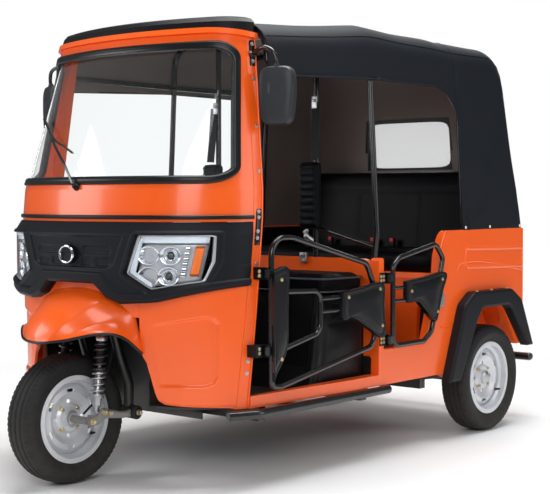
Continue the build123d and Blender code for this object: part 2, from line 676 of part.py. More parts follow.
for x in (-HOOP_RAIL_X, HOOP_RAIL_X):
    canopy_frame += bar((x, FRONT_HOOP_Y, HOOP_RAIL_Z), (x, LAST_HOOP_Y, HOOP_RAIL_Z), TUBE_R)
# Inner posts from the partition to the roof, with a grab rail to each outer post
INNER_POST_X, INNER_POST_TOP = 288, 1806
INNER_POST_Y = HOOPS[1][0]
GRAB_Z, GRAB_END_Z = 962, 880
for side in (-1, 1):
    post_x = side * INNER_POST_X
    canopy_frame += bar((post_x, INNER_POST_Y, PARTITION_TOP), (post_x, INNER_POST_Y, INNER_POST_TOP), TUBE_R)
    canopy_frame += bar((post_x, INNER_POST_Y, GRAB_Z), (side * 602, INNER_POST_Y, GRAB_END_Z), 10)
keep("canopy_frame", canopy_frame)

# ---- seats --------------------------------------------------------------------------------
SEAT_TOP = 775
SEAT_BASE = 690
SEAT_FRONT, SEAT_REAR = POST_Y - 295, POST_Y - 5
SEAT_HALF = 585
SEAT_CORNER = 60
driver_seat = box(-SEAT_HALF, SEAT_HALF, SEAT_FRONT, SEAT_REAR, SEAT_BASE + SEAT_GAP, SEAT_TOP)
driver_seat = fillet(driver_seat.edges().filter_by(Axis.Z), SEAT_CORNER)
driver_seat = fillet(driver_seat.faces().sort_by(Axis.Z)[-1].edges(), 25)
keep("driver_seat", driver_seat)

HOUSING = [(SEAT_FRONT + 15, SEAT_BASE), (SEAT_REAR, SEAT_BASE), (SEAT_REAR, CAB_FLOOR_Z + FLOOR),
           (SEAT_FRONT - 60, CAB_FLOOR_Z + FLOOR), (SEAT_FRONT - 20, 400)]
HOUSING_HALF, HOUSING_WALL = SEAT_HALF - 22, 12
HOUSING_INSIDE = [(SEAT_FRONT + 45, SEAT_BASE - HOUSING_WALL), (SEAT_REAR - HOUSING_WALL, SEAT_BASE - HOUSING_WALL),
                  (SEAT_REAR - HOUSING_WALL, CAB_FLOOR_Z - 20), (SEAT_FRONT - 40, CAB_FLOOR_Z - 20), (SEAT_FRONT, 400)]
seat_housing = along_x(HOUSING, -HOUSING_HALF, HOUSING_HALF)
seat_housing -= along_x(HOUSING_INSIDE, HOUSING_WALL - HOUSING_HALF, HOUSING_HALF - HOUSING_WALL)
keep("seat_housing", seat_housing)

PAD_HALF = 55
PAD_LOW, PAD_HIGH = 945, 1247
PAD_BACK = INNER_POST_Y - TUBE_R - SEAT_GAP
pad = box(INNER_POST_X - PAD_HALF, INNER_POST_X + PAD_HALF, PAD_BACK - 55, PAD_BACK, PAD_LOW, PAD_HIGH)
pad = fillet(pad.edges().filter_by(Axis.Z).sort_by(Axis.Y)[:2], 22)
keep("driver_back_pads", both(pad))

BENCH_FRONT, BENCH_REAR = rear(-360), rear(160)
BENCH_TOP = 745
bench = [(BENCH_FRONT, CABIN_FLOOR_Z), (BENCH_FRONT + 30, BENCH_TOP), (BENCH_REAR, BENCH_TOP),
         (BENCH_REAR, BENCH_TOP - 25), (BENCH_FRONT + 55, BENCH_TOP - 25), (BENCH_FRONT + 25, CABIN_FLOOR_Z)]
BENCH_HALF = HOUSE_IN - HOUSE_WALL - 2
rear_seat_base = along_x(bench, -BENCH_HALF, BENCH_HALF)
rear_seat_base += along_x([(BENCH_FRONT + 20, BENCH_TOP - 25), (BENCH_REAR, BENCH_TOP - 25), (BENCH_REAR, BENCH_TOP),
                           (BENCH_FRONT + 30, BENCH_TOP)], -(TAIL_HALF - 1), TAIL_HALF - 1)
keep("rear_seat_base", rear_seat_base)
rear_cushion = box(-580, 580, BENCH_FRONT + 25, BENCH_REAR - 70, BENCH_TOP + SEAT_GAP, BENCH_TOP + 100)
rear_cushion = fillet(rear_cushion.edges().filter_by(Axis.Z), 40)
rear_cushion = fillet(rear_cushion.faces().sort_by(Axis.Z)[-1].edges(), 30)
keep("rear_seat_cushion", rear_cushion)
BACK_FOOT_Y = BENCH_REAR - 65
back_points = [(BACK_FOOT_Y, BENCH_TOP + SEAT_GAP), (BACK_FOOT_Y + 100, BENCH_TOP + SEAT_GAP), (BACK_FOOT_Y + 160, 1235), (BACK_FOOT_Y + 80, 1235)]
rear_back = along_x(back_points, -570, 570, [10, 10, 35, 35])
keep("rear_seat_back", rear_back)

# ---- running gear --------------------------------------------------------------------------
ENGINE_HALF = 190
engine_block = box(-ENGINE_HALF, ENGINE_HALF, rear(60), RAIL_END, CAB_FLOOR_Z + KICK + SEAT_GAP, 640)
keep("engine_block", engine_block)

AXLE_R = 34
SPINDLE_R = 22
HUB_INNER = 30
AXLE_END = WHEEL_X - HUB_INNER - 4
ARM_X = 420
axle = bar((-AXLE_END, REAR_AXLE_Y, TYRE_RADIUS), (AXLE_END, REAR_AXLE_Y, TYRE_RADIUS), AXLE_R)
axle += bar((1 - WHEEL_X, REAR_AXLE_Y, TYRE_RADIUS), (WHEEL_X - 1, REAR_AXLE_Y, TYRE_RADIUS), SPINDLE_R)
axle += bar((-70, REAR_AXLE_Y, TYRE_RADIUS), (70, REAR_AXLE_Y, TYRE_RADIUS), 98)
for x in (-ARM_X, ARM_X):
    axle += bar((x, AXLE_BEAM_Y + BEAM, 270), (x, REAR_AXLE_Y, TYRE_RADIUS), 22)
keep("rear_axle", axle - chassis)

# Rear shock absorbers: body and spring sleeve, from the arm up to the cross beam
rear_shock = bar((ARM_X, REAR_AXLE_Y, TYRE_RADIUS), (ARM_X, REAR_AXLE_Y, 640), 10)
rear_shock += bar((ARM_X, REAR_AXLE_Y, 330), (ARM_X, REAR_AXLE_Y, 610), 28)
rear_shock -= bar((ARM_X - 60, REAR_AXLE_Y, TYRE_RADIUS), (ARM_X + 60, REAR_AXLE_Y, TYRE_RADIUS), AXLE_R)
rear_shock = rear_shock.solids().sort_by(SortBy.VOLUME)[-1]
keep("rear_shocks", both(rear_shock))

MUFFLER_R = 45
MUFFLER_X, MUFFLER_Z = -235, 285
PIPE_R = 14
muffler = bar((MUFFLER_X, rear(120), MUFFLER_Z), (MUFFLER_X, RAIL_END - 20, MUFFLER_Z), MUFFLER_R)
muffler += tube([(MUFFLER_X, rear(200), MUFFLER_Z), (MUFFLER_X, rear(200), 450), (-ENGINE_HALF - SEAT_GAP, rear(200), 450)],
                PIPE_R, 22)
muffler += bar((MUFFLER_X, RAIL_END - 40, MUFFLER_Z - 10), (MUFFLER_X, TAIL_Y + 30, MUFFLER_Z - 20), PIPE_R)
keep("muffler", muffler)


def tyre(x, y):
    """Tyre with a rounded shoulder, on a rim at (x, y)."""
    half = TYRE_WIDTH / 2
    seat = RIM_WIDTH / 2 - 4
    bead = 153.3
    profile = [
        (-seat, bead), (-seat, RIM_FLANGE_RADIUS + 1), (-half + 4, 192), (-half, 208), (-half + 3, 226),
        (-half + 16, 241), (-30, TYRE_RADIUS), (30, TYRE_RADIUS), (half - 16, 241), (half - 3, 226),
        (half, 208), (half - 4, 192), (seat, RIM_FLANGE_RADIUS + 1), (seat, bead), (seat - 14, bead),
        (seat - 16, 180), (half - 18, 205), (half - 26, 226), (-half + 26, 226), (-half + 18, 205),
        (-seat + 16, 180), (-seat + 14, bead),
    ]
    return ring_x(profile, x, y, TYRE_RADIUS)


def rim(x, y, side):
    """Pressed wheel: barrel, flanges, dished disc with slots and holes; side is +1 or -1."""
    half = RIM_WIDTH / 2
    wall = 4
    barrel = [
        (-half, RIM_FLANGE_RADIUS), (-half + wall, RIM_FLANGE_RADIUS), (-half + wall, 153), (-half + 22, 153),
        (-half + 30, 140), (half - 30, 140), (half - 22, 153), (half - wall, 153), (half - wall, RIM_FLANGE_RADIUS),
        (half, RIM_FLANGE_RADIUS), (half, 149), (half - 24, 149), (half - 32, 136), (-half + 32, 136),
        (-half + 24, 149), (-half, 149),
    ]
    disc = [(2, 136.5), (8, 136.5), (22, 118), (26, 100), (14, 78), (10, 60), (20, 50), (20, 30), (12, 30), (12, 46),
            (4, 54), (6, 80), (18, 102), (14, 116)]
    body = ring_x(barrel, x, y, TYRE_RADIUS) + ring_x([(side * u, r) for u, r in disc], x, y, TYRE_RADIUS)
    cut_from = min(0, side * 60)
    for angle in range(0, 360, 60):
        centre = (x + cut_from, y + 108 * sin(radians(angle)), TYRE_RADIUS + 108 * cos(radians(angle)))
        plane = Plane(origin=centre, x_dir=(0, cos(radians(angle)), -sin(radians(angle))), z_dir=(1, 0, 0))
        body -= extrude(plane * SlotOverall(36, 13), amount=60)
    for angle in range(0, 360, 90):
        centre = (x + cut_from, y + 66 * sin(radians(angle)), TYRE_RADIUS + 66 * cos(radians(angle)))
        plane = Plane(origin=centre, x_dir=(0, cos(radians(angle)), -sin(radians(angle))), z_dir=(1, 0, 0))
        body -= extrude(plane * Circle(9), amount=60)
    return body


AXLE_PIN_R = 8
# node suffix, x, y, outward side
WHEELS = [("front", 0, FRONT_AXLE_Y, 1), ("rear_left", WHEEL_X, REAR_AXLE_Y, 1), ("rear_right", -WHEEL_X, REAR_AXLE_Y, -1)]
for name, x, y, side in WHEELS:
    keep(f"tyre_{name}", tyre(x, y))
    wheel = rim(x, y, side)
    bore = SPINDLE_R if x else AXLE_PIN_R
    hub = [(-HUB_INNER, bore + 0.3), (-HUB_INNER, 48), (12, 48), (12, 29.9), (34, 29.9), (34, bore + 0.3)]
    if x:
        hub = hub[:-1] + [(34, 0), (0, 0), (0, bore + 0.3)]
    wheel += ring_x([(side * u, r) for u, r in hub], x, y, TYRE_RADIUS)
    keep(f"rim_{name}", wheel)

# ---- front fork -------------------------------------------------------------------------
FORK_X = 98
PIVOT_BACK = 231
PIVOT = (front(PIVOT_BACK), 254)
LEG_R = 19
crown_y = steer(CROWN_Z).Y
fork = box(-FORK_X - 24, FORK_X + 24, crown_y - 45, crown_y + 45, CROWN_Z - 14, CROWN_Z + 14)
LEG = [(crown_y + 20, CROWN_Z), (front(190), 470), (front(PIVOT_BACK + 4), 360), PIVOT]
for x in (-FORK_X, FORK_X):
    fork += tube([(x, y, z) for y, z in LEG], LEG_R, 90)
    fork += bar((x - 24, *PIVOT), (x + 24, *PIVOT), 26)
keep("front_fork", fork)
column = coaxial(CROWN_Z + 14.2, BAR_Z, COLUMN_RADIUS) - box(-200, 200, front(-300), front(600), 0, CROWN_Z + 14)
keep("steering_column", column)

LINK_IN, LINK_OUT = FORK_X + 24.3, FORK_X + 40
LINK = [
    (PIVOT[0] + 26, PIVOT[1] - 22), (PIVOT[0] + 26, PIVOT[1] + 24), (front(60), 300), (front(-26), TYRE_RADIUS + 24),
    (front(-26), TYRE_RADIUS - 24), (front(60), 224),
]
link = along_x(LINK, LINK_IN, LINK_OUT, 10)
link -= bar((0, FRONT_AXLE_Y, TYRE_RADIUS), (200, FRONT_AXLE_Y, TYRE_RADIUS), AXLE_PIN_R)
keep("fork_links", both(link))
front_axle = bar((-LINK_OUT - 14, FRONT_AXLE_Y, TYRE_RADIUS), (LINK_OUT + 14, FRONT_AXLE_Y, TYRE_RADIUS), AXLE_PIN_R - SEAT_GAP)
for side in (-1, 1):
    inner, outer = (side * 35.5, side * (LINK_IN - SEAT_GAP))
    front_axle += bar((inner, FRONT_AXLE_Y, TYRE_RADIUS), (outer, FRONT_AXLE_Y, TYRE_RADIUS), 15)
    nut = side * (LINK_OUT + SEAT_GAP)
    front_axle += bar((nut, FRONT_AXLE_Y, TYRE_RADIUS), (nut + side * 9, FRONT_AXLE_Y, TYRE_RADIUS), 14)
keep("front_axle", front_axle)

# Front shock absorbers: body, spring sleeve and an eye pin on the link
SHOCK_X = FORK_X + 4
SHOCK_TOP = Vector(SHOCK_X, front(96), CROWN_Z)
SHOCK_FOOT = Vector(SHOCK_X, front(60), 280)
run = SHOCK_TOP - SHOCK_FOOT
front_shock = bar(tuple(SHOCK_FOOT), tuple(SHOCK_TOP), 9)
front_shock += bar(tuple(SHOCK_FOOT + run * 0.2), tuple(SHOCK_FOOT + run * 0.9), 21)
front_shock += bar((SHOCK_X - 10, SHOCK_FOOT.Y, SHOCK_FOOT.Z), (LINK_IN, SHOCK_FOOT.Y, SHOCK_FOOT.Z), 12)
front_shock -= fork
keep("front_shocks", both(front_shock.solids().sort_by(SortBy.VOLUME)[-1]))

BAR_Y = steer(BAR_Z).Y
GRIP_X = 300
# Right half of the handlebar from the middle out: x, y behind the column, z above the clamp
BAR_BENDS = [(60, 0, 30), (180, 60, 30), (GRIP_X, 130, 10)]
handlebar_route = [(-x, BAR_Y + y, BAR_Z + z) for x, y, z in reversed(BAR_BENDS)]
handlebar_route += [(x, BAR_Y + y, BAR_Z + z) for x, y, z in BAR_BENDS]
handlebar = tube(handlebar_route, 11, 35)
handlebar += box(-50, 50, BAR_Y - 30, BAR_Y + 30, BAR_Z - 12, BAR_Z + 44)
handlebar -= coaxial(BAR_Z - 60, BAR_Z, COLUMN_RADIUS)
keep("handlebar", handlebar)

# Dashboard: a shelf under the windshield and a console in front of the driver's feet
DASH_TOP, DASH_LOW = 1112, 985
dash_space = box(-900, 900, front(0), front(330), DASH_LOW, DASH_TOP)
dashboard = nose(PILLAR_DEPTH + SEAT_GAP) & dash_space & ahead_of_edge(PILLAR_WIDTH + 2)
dashboard -= box(-480, 480, front(175), front(400), DASH_LOW - 1, DASH_TOP + 1)
keep("dashboard", dashboard)
CONSOLE_Y = NECK_Y + NECK_R + 8
console = box(-230, 230, CONSOLE_Y, CONSOLE_Y + 8, CAB_FLOOR_Z + FLOOR, 900)
console += box(-230, -222, ARCH_REAR + SEAT_GAP, CONSOLE_Y + 8, CAB_FLOOR_Z + FLOOR, 900)
console += box(222, 230, ARCH_REAR + SEAT_GAP, CONSOLE_Y + 8, CAB_FLOOR_Z + FLOOR, 900)
keep("foot_console", console)

# ---- doors: tube frames with moulded guards ----------------------------------------------
HINGE_X = DOOR_X
FRONT_HINGE_Y = front(412)
REAR_HINGE_Y = POST_REAR + 14
HINGE_OFFSET = 26
HINGE_TUBE_Y = FRONT_HINGE_Y + HINGE_OFFSET
DR = DOOR_TUBE / 2
# Outer frame of the front door: y, z, bend radius
FRONT_DOOR = [
    (HINGE_TUBE_Y, 938, 70), (front(560), 936, 60), (POST_Y - 110, 818, 60), (POST_Y - 50, 700, 40),
    (POST_Y - 60, 478, 50), (front(490), 372, 30), (HINGE_TUBE_Y, 378, 20),
]
front_door = hoop([(DOOR_X, y, z) for y, z, r in FRONT_DOOR], DR, [r for y, z, r in FRONT_DOOR])
STAY = [(HINGE_TUBE_Y, 733), (front(735), 722), (front(730), 560), (HINGE_TUBE_Y, 500)]
front_door += tube([(DOOR_X, y, z) for y, z in STAY], DR, 45)
guard = along_x([(POST_Y - 300, 712), (POST_Y - 28, 736), (POST_Y - 20, 508), (POST_Y - 232, 606), (POST_Y - 300, 604)],
                DOOR_X + 4, DOOR_X + 26, [6, 6, 6, 20, 6])
front_door += guard
post_cover = along_x([(front(430), 812), (front(520), 822), (front(510), 525), (front(445), 425), (front(430), 430)],
                     DOOR_X + 4, DOOR_X + 20, 8)
front_door += post_cover
for z in (690, 640):
    front_door += bar((DOOR_X, front(735), z), (DOOR_X + 10, POST_Y - 290, z), 8)
for z in (790, 500):
    front_door += box(DOOR_X - 9, DOOR_X + 9, FRONT_HINGE_Y, HINGE_TUBE_Y, z, z + 30)
    front_door += Pos(HINGE_X, FRONT_HINGE_Y, z + 15) * Cylinder(11, 30)
for z in (790, 500):
    front_door -= Pos(HINGE_X, FRONT_HINGE_Y, z + 15) * Cylinder(5.3, 60)
front_door = front_door.solids().sort_by(SortBy.VOLUME)[-1]
keep("front_door_left", front_door)
keep("front_door_right", mirror(front_door, about=Plane.YZ))

REAR_DOOR = [
    (REAR_HINGE_Y + HINGE_OFFSET, 800, 40), (REAR_HINGE_Y + 66, 832, 60), (rear(-450), 884, 40), (rear(-392), 820, 30),
    (rear(-480), 500, 60), (rear(-540), 464, 30), (REAR_HINGE_Y + HINGE_OFFSET, 462, 40),
]
frame_points = [(DOOR_X, y, z) for y, z, r in REAR_DOOR]
rear_door = hoop(frame_points, DR, [r for y, z, r in REAR_DOOR])
for z in (707, 652):
    rear_door += bar((DOOR_X, REAR_HINGE_Y + HINGE_OFFSET, z), (DOOR_X + 10, rear(-690), z), 8)
guard = along_x([(rear(-704), 733), (rear(-398), 757), (rear(-470), 560), (rear(-500), 552), (rear(-613), 640), (rear(-696), 645)],
                DOOR_X + 4, DOOR_X + 26, [6, 6, 6, 6, 20, 6])
rear_door += guard
for z in (735, 475):
    rear_door += box(DOOR_X - 9, DOOR_X + 9, REAR_HINGE_Y, REAR_HINGE_Y + HINGE_OFFSET, z, z + 30)
    rear_door += Pos(HINGE_X, REAR_HINGE_Y, z + 15) * Cylinder(11, 30)
for z in (735, 475):
    rear_door -= Pos(HINGE_X, REAR_HINGE_Y, z + 15) * Cylinder(5.3, 60)
rear_door = rear_door.solids().sort_by(SortBy.VOLUME)[-1]
keep("rear_door_left", rear_door)
keep("rear_door_right", mirror(rear_door, about=Plane.YZ))

# Hinge brackets: a plate on the post with two ears and a pin through the door's eye
EAR = 7
# y of the pin, z of the eye, inner x of the plate, y of its two ends
FRONT_PLATES = [(FRONT_HINGE_Y, z, CAB_HALF_WIDTH, edge_y(z) - 25, FRONT_HINGE_Y + EAR) for z in (790, 500)]
REAR_PLATES = [(REAR_HINGE_Y, z, BODY_HALF_WIDTH + SEAT_GAP, POST_Y + 4, REAR_HINGE_Y + EAR) for z in (735, 475)]
brackets = []
for y, z, plate_x, plate_y, plate_end in FRONT_PLATES + REAR_PLATES:
    bracket = box(plate_x, BODY_HALF_WIDTH + 5, plate_y, plate_end, z - 8, z + 38)
    for low, high in ((z - 8, z - 0.5), (z + 30.5, z + 38)):
        bracket += box(BODY_HALF_WIDTH + SEAT_GAP, HINGE_X + EAR, y - EAR, y + EAR, low, high)
    bracket += Pos(HINGE_X, y, z + 15) * Cylinder(5, 46)
    bracket -= NOSE_OUTER
    brackets += [bracket.solids().sort_by(SortBy.VOLUME)[-1]]
keep("door_hinges", both(Compound(brackets)))

# ---- mirrors ---------------------------------------------------------------------------
MIRROR_HALF, MIRROR_DEPTH, MIRROR_HEIGHT = 72, 60, 226
MIRROR_TURN = 22
MIRROR = (648, front(486), 1470)
head = fillet(Box(2 * MIRROR_HALF, MIRROR_DEPTH, MIRROR_HEIGHT).edges().filter_by(Axis.Y), 34)
head = fillet(head.faces().sort_by(Axis.Y)[0].edges(), 22)
head = Pos(*MIRROR) * Rot(0, 0, MIRROR_TURN) * head
ARM = [(520, front(478), 1632), (588, front(470), 1650), (640, front(470), 1640), (648, front(478), 1570)]
mirror_left = head + tube(ARM, 8, 22)
mirror_left -= NOSE_OUTER
keep("mirrors", both(mirror_left.solids().sort_by(SortBy.VOLUME)[-1]))

# ---- tail lights and plate -----------------------------------------------------------------
tail_lights = box(TAIL_LAMP_X - 45, TAIL_LAMP_X + 45, TAIL_Y, TAIL_Y + 40, TAIL_LAMP_Z - 110, TAIL_LAMP_Z + 110)
tail_lights = fillet(tail_lights.faces().sort_by(Axis.Y)[-1].edges(), 12)
keep("tail_lights", both(tail_lights))
PLATE_Z = 530
plate = box(-140, 140, TAIL_Y, TAIL_Y + 3, PLATE_Z - 50, PLATE_Z + 50)
for x in (-80, 80):
    hole = bar((x, TAIL_Y - SIDE_PANEL - 1, PLATE_Z), (x, TAIL_Y + 4, PLATE_Z), 4)
    plate -= hole
    tail_panel -= hole
keep("number_plate", plate)
keep("tail_panel", tail_panel)
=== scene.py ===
from math import cos, pi, radians, sin

import bmesh
import bpy
import numpy as np
from mathutils import Matrix, Vector


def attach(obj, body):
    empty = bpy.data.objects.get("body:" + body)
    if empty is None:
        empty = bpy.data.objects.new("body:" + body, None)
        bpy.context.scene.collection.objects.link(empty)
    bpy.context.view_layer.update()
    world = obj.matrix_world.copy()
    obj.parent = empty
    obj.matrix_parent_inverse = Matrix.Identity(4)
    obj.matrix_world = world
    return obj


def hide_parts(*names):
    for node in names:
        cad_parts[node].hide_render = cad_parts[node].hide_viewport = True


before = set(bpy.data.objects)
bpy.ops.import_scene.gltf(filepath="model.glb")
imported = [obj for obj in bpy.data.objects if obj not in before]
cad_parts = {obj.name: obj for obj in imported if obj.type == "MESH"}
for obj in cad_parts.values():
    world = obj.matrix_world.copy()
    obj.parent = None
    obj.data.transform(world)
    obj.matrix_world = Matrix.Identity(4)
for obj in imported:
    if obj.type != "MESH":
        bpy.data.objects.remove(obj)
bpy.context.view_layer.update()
scene = bpy.context.scene
scene.view_settings.view_transform = "Standard"

# ---- camera ----------------------------------------------------------------------------------
# A long lens at about chest height, ahead of the vehicle's left front corner.
AZIMUTH, PITCH, ROLL = radians(40.32), radians(2.15), radians(-0.09)
camera = bpy.data.objects.new("camera", bpy.data.cameras.new("camera"))
scene.collection.objects.link(camera)
camera.data.lens = 84.35
camera.data.sensor_width = 36
camera.data.clip_end = 100
ahead = Vector((-sin(AZIMUTH) * cos(PITCH), cos(AZIMUTH) * cos(PITCH), -sin(PITCH)))
aim = ahead.to_track_quat("-Z", "Y").to_matrix().to_4x4()
camera.matrix_world = Matrix.Translation((3.78271, -4.33438, 1.08395)) @ aim @ Matrix.Rotation(ROLL, 4, "Z")
scene.camera = camera

# ---- floor and lamps -------------------------------------------------------------------------
# A white studio floor that fades into a white room, one large soft lamp overhead and two at the sides.


def grid_faces(rows, columns, round_rows=False, round_columns=False):
    """Quads between neighbouring points of a grid; a round direction joins its last line to its first."""
    a = np.arange(rows if round_rows else rows - 1)
    b = np.arange(columns if round_columns else columns - 1)
    a, b = np.meshgrid(a, b, indexing="ij")
    c, d = (a + 1) % rows, (b + 1) % columns
    return np.stack([a * columns + b, c * columns + b, c * columns + d, a * columns + d], -1).reshape(-1, 4)


def sheet_of(points, round_rows=False, round_columns=False):
    """A shape: the points of a grid, in millimetres, and the quads between them."""
    rows, columns = points.shape[:2]
    return points.reshape(-1, 3), grid_faces(rows, columns, round_rows, round_columns)


def piece(name, shapes, materials, closed=True, fold=38, spots=None):
    """One object from shapes in millimetres, the nth in the nth material. Points that meet are merged,
    faces of closed shapes are turned outwards, and shading is smooth up to the fold angle. spots are UV
    points, one a point."""
    mesh = bpy.data.meshes.new(name)
    starts = np.cumsum([0] + [len(s[0]) for s in shapes])
    points = np.concatenate([s[0] for s in shapes]) / 1000
    faces = np.concatenate([s[1] + start for s, start in zip(shapes, starts)])
    mesh.from_pydata(points.tolist(), [], faces.tolist())
    if not isinstance(materials, (list, tuple)):
        materials = [materials] * len(shapes)
    kinds = list(dict.fromkeys(m.name for m in materials))
    for kind in kinds:
        mesh.materials.append(bpy.data.materials[kind])
    slots = np.concatenate([np.full(len(s[1]), kinds.index(m.name)) for s, m in zip(shapes, materials)])
    mesh.polygons.foreach_set("material_index", slots.astype(np.int32))
    if spots is not None:
        layer = mesh.uv_layers.new(name="cloth")
        layer.data.foreach_set("uv", spots[faces.reshape(-1)].astype(np.float32).reshape(-1))
    work = bmesh.new()
    work.from_mesh(mesh)
    bmesh.ops.remove_doubles(work, verts=work.verts, dist=2e-5)
    bmesh.ops.dissolve_degenerate(work, edges=work.edges, dist=1e-6)
    if closed:
        bmesh.ops.recalc_face_normals(work, faces=work.faces)
    work.to_mesh(mesh)
    work.free()
    mesh.shade_smooth()
    mesh.set_sharp_from_angle(angle=radians(fold))
    made = bpy.data.objects.new(name, mesh)
    scene.collection.objects.link(made)
    return made


def plain_material(name):
    """A new material with its Principled shader, as (material, shader, nodes, links)."""
    material = bpy.data.materials.new(name)
    material.use_nodes = True
    nodes, links = material.node_tree.nodes, material.node_tree.links
    return material, nodes["Principled BSDF"], nodes, links


room = bpy.data.worlds.new("room")
scene.world = room
room.use_nodes = True
nodes, links = room.node_tree.nodes, room.node_tree.links
sight = nodes.new("ShaderNodeLightPath")
seen = nodes.new("ShaderNodeMath")
seen.operation = "MAXIMUM"
links.new(sight.outputs["Is Camera Ray"], seen.inputs[0])
links.new(sight.outputs["Is Transmission Ray"], seen.inputs[1])
fill, white = nodes["Background"], nodes.new("ShaderNodeBackground")
fill.inputs["Color"].default_value = (0.9, 0.95, 1, 1)
fill.inputs["Strength"].default_value = 0.14
white.inputs["Color"].default_value = (1, 1, 1, 1)
white.inputs["Strength"].default_value = 1
choice = nodes.new("ShaderNodeMixShader")
links.new(seen.outputs[0], choice.inputs[0])
links.new(fill.outputs[0], choice.inputs[1])
links.new(white.outputs[0], choice.inputs[2])
links.new(choice.outputs[0], nodes["World Output"].inputs[0])

floor_paint, shader, nodes, links = plain_material("floor")
shader.inputs["Base Color"].default_value = (0.93, 0.93, 0.93, 1)
shader.inputs["Roughness"].default_value = 0.9
shader.inputs["Specular IOR Level"].default_value = 0.1
spot = nodes.new("ShaderNodeTexCoord")
reach = nodes.new("ShaderNodeVectorMath")
reach.operation = "LENGTH"
fade = nodes.new("ShaderNodeMapRange")
fade.inputs["From Min"].default_value = 2.0
fade.inputs["From Max"].default_value = 3.4
glow = nodes.new("ShaderNodeEmission")
glow.inputs["Strength"].default_value = 1
sight = nodes.new("ShaderNodeLightPath")
both_masks = nodes.new("ShaderNodeMath")
both_masks.operation = "MULTIPLY"
blend = nodes.new("ShaderNodeMixShader")
links.new(spot.outputs["Object"], reach.inputs[0])
links.new(reach.outputs["Value"], fade.inputs["Value"])
links.new(fade.outputs["Result"], both_masks.inputs[0])
links.new(sight.outputs["Is Camera Ray"], both_masks.inputs[1])
links.new(both_masks.outputs[0], blend.inputs[0])
links.new(shader.outputs[0], blend.inputs[1])
links.new(glow.outputs[0], blend.inputs[2])
links.new(blend.outputs[0], nodes["Material Output"].inputs[0])
side = np.linspace(-30000, 30000, 21)
floor_points = np.stack([*np.meshgrid(side, side, indexing="ij"), np.full((21, 21), -1.0)], -1)
floor = piece("floor", [sheet_of(floor_points)], floor_paint, closed=False)


def lamp(name, place, target, size, watts, colour=(1, 1, 1)):
    """A square soft lamp at a place, turned to a target."""
    light = bpy.data.lights.new(name, "AREA")
    light.size = size
    light.energy = watts
    light.color = colour
    made = bpy.data.objects.new(name, light)
    scene.collection.objects.link(made)
    made.location = place
    made.rotation_euler = (Vector(target) - Vector(place)).to_track_quat("-Z", "Y").to_euler()


lamp("overhead", (0.2, 0.3, 4.6), (0, 0, 0.6), 3.6, 290)
lamp("front_left", (3.4, -4.6, 3.0), (0, -0.4, 0.8), 2.6, 105)
lamp("front_right", (-3.6, -4.2, 2.6), (0, -0.8, 0.9), 2.4, 90)
lamp("left_side", (5.0, 1.6, 2.2), (0, 0.3, 0.9), 2.4, 45)
lamp("rear", (-1.5, 5.0, 2.8), (0, 0.6, 1.0), 2.4, 70)

# ---- chassis and frames ----------------------------------------------------------------------
# Square and round steel tube, welded, and painted satin black. Road dust dulls the lowest parts.


def node_group(name, inputs, outputs):
    """An empty shader group with named sockets, as (group, nodes, links, inputs, outputs)."""
    group = bpy.data.node_groups.new(name, "ShaderNodeTree")
    kinds = {"colour": "NodeSocketColor", "value": "NodeSocketFloat", "vector": "NodeSocketVector"}
    for label, kind, start in inputs:
        socket = group.interface.new_socket(label, in_out="INPUT", socket_type=kinds[kind])
        if start is not None:
            socket.default_value = start
    for label, kind in outputs:
        group.interface.new_socket(label, in_out="OUTPUT", socket_type=kinds[kind])
    nodes = group.nodes
    return group, nodes, group.links, nodes.new("NodeGroupInput"), nodes.new("NodeGroupOutput")


# Shade: the colour drifts towards a second one in soft clouds, and towards dust near the ground
shade, nodes, links, given, put = node_group(
    "shade",
    [("Vector", "vector", None), ("Colour", "colour", (1, 1, 1, 1)), ("Drift", "colour", (1, 1, 1, 1)),
     ("Cloud Scale", "value", 3.0), ("Dust", "value", 0.1), ("Dust Height", "value", 0.6),
     ("Dust Colour", "colour", (0.35, 0.3, 0.24, 1)), ("Rough", "value", 0.4),
     ("Rough Drift", "value", 0.08)],
    [("Colour", "colour"), ("Roughness", "value")])
cloud = nodes.new("ShaderNodeTexNoise")
cloud.inputs["Detail"].default_value = 5
links.new(given.outputs["Vector"], cloud.inputs["Vector"])
links.new(given.outputs["Cloud Scale"], cloud.inputs["Scale"])
drifted = nodes.new("ShaderNodeMix")
drifted.data_type = "RGBA"
links.new(cloud.outputs["Fac"], drifted.inputs["Factor"])
links.new(given.outputs["Colour"], drifted.inputs["A"])
links.new(given.outputs["Drift"], drifted.inputs["B"])
split = nodes.new("ShaderNodeSeparateXYZ")
links.new(given.outputs["Vector"], split.inputs[0])
low = nodes.new("ShaderNodeMapRange")
low.inputs["From Min"].default_value = 0.05
low.inputs["To Min"].default_value = 1
low.inputs["To Max"].default_value = 0
low.clamp = True
links.new(split.outputs["Z"], low.inputs["Value"])
links.new(given.outputs["Dust Height"], low.inputs["From Max"])
speck = nodes.new("ShaderNodeTexNoise")
speck.inputs["Scale"].default_value = 38
speck.inputs["Detail"].default_value = 6
links.new(given.outputs["Vector"], speck.inputs["Vector"])
patchy = nodes.new("ShaderNodeMath")
patchy.operation = "MULTIPLY"
links.new(low.outputs["Result"], patchy.inputs[0])
links.new(speck.outputs["Fac"], patchy.inputs[1])
amount = nodes.new("ShaderNodeMath")
amount.operation = "MULTIPLY"
links.new(patchy.outputs[0], amount.inputs[0])
links.new(given.outputs["Dust"], amount.inputs[1])
dusty = nodes.new("ShaderNodeMix")
dusty.data_type = "RGBA"
links.new(amount.outputs[0], dusty.inputs["Factor"])
links.new(drifted.outputs["Result"], dusty.inputs["A"])
links.new(given.outputs["Dust Colour"], dusty.inputs["B"])
links.new(dusty.outputs["Result"], put.inputs["Colour"])
rougher = nodes.new("ShaderNodeMath")
rougher.operation = "MULTIPLY_ADD"
links.new(cloud.outputs["Fac"], rougher.inputs[0])
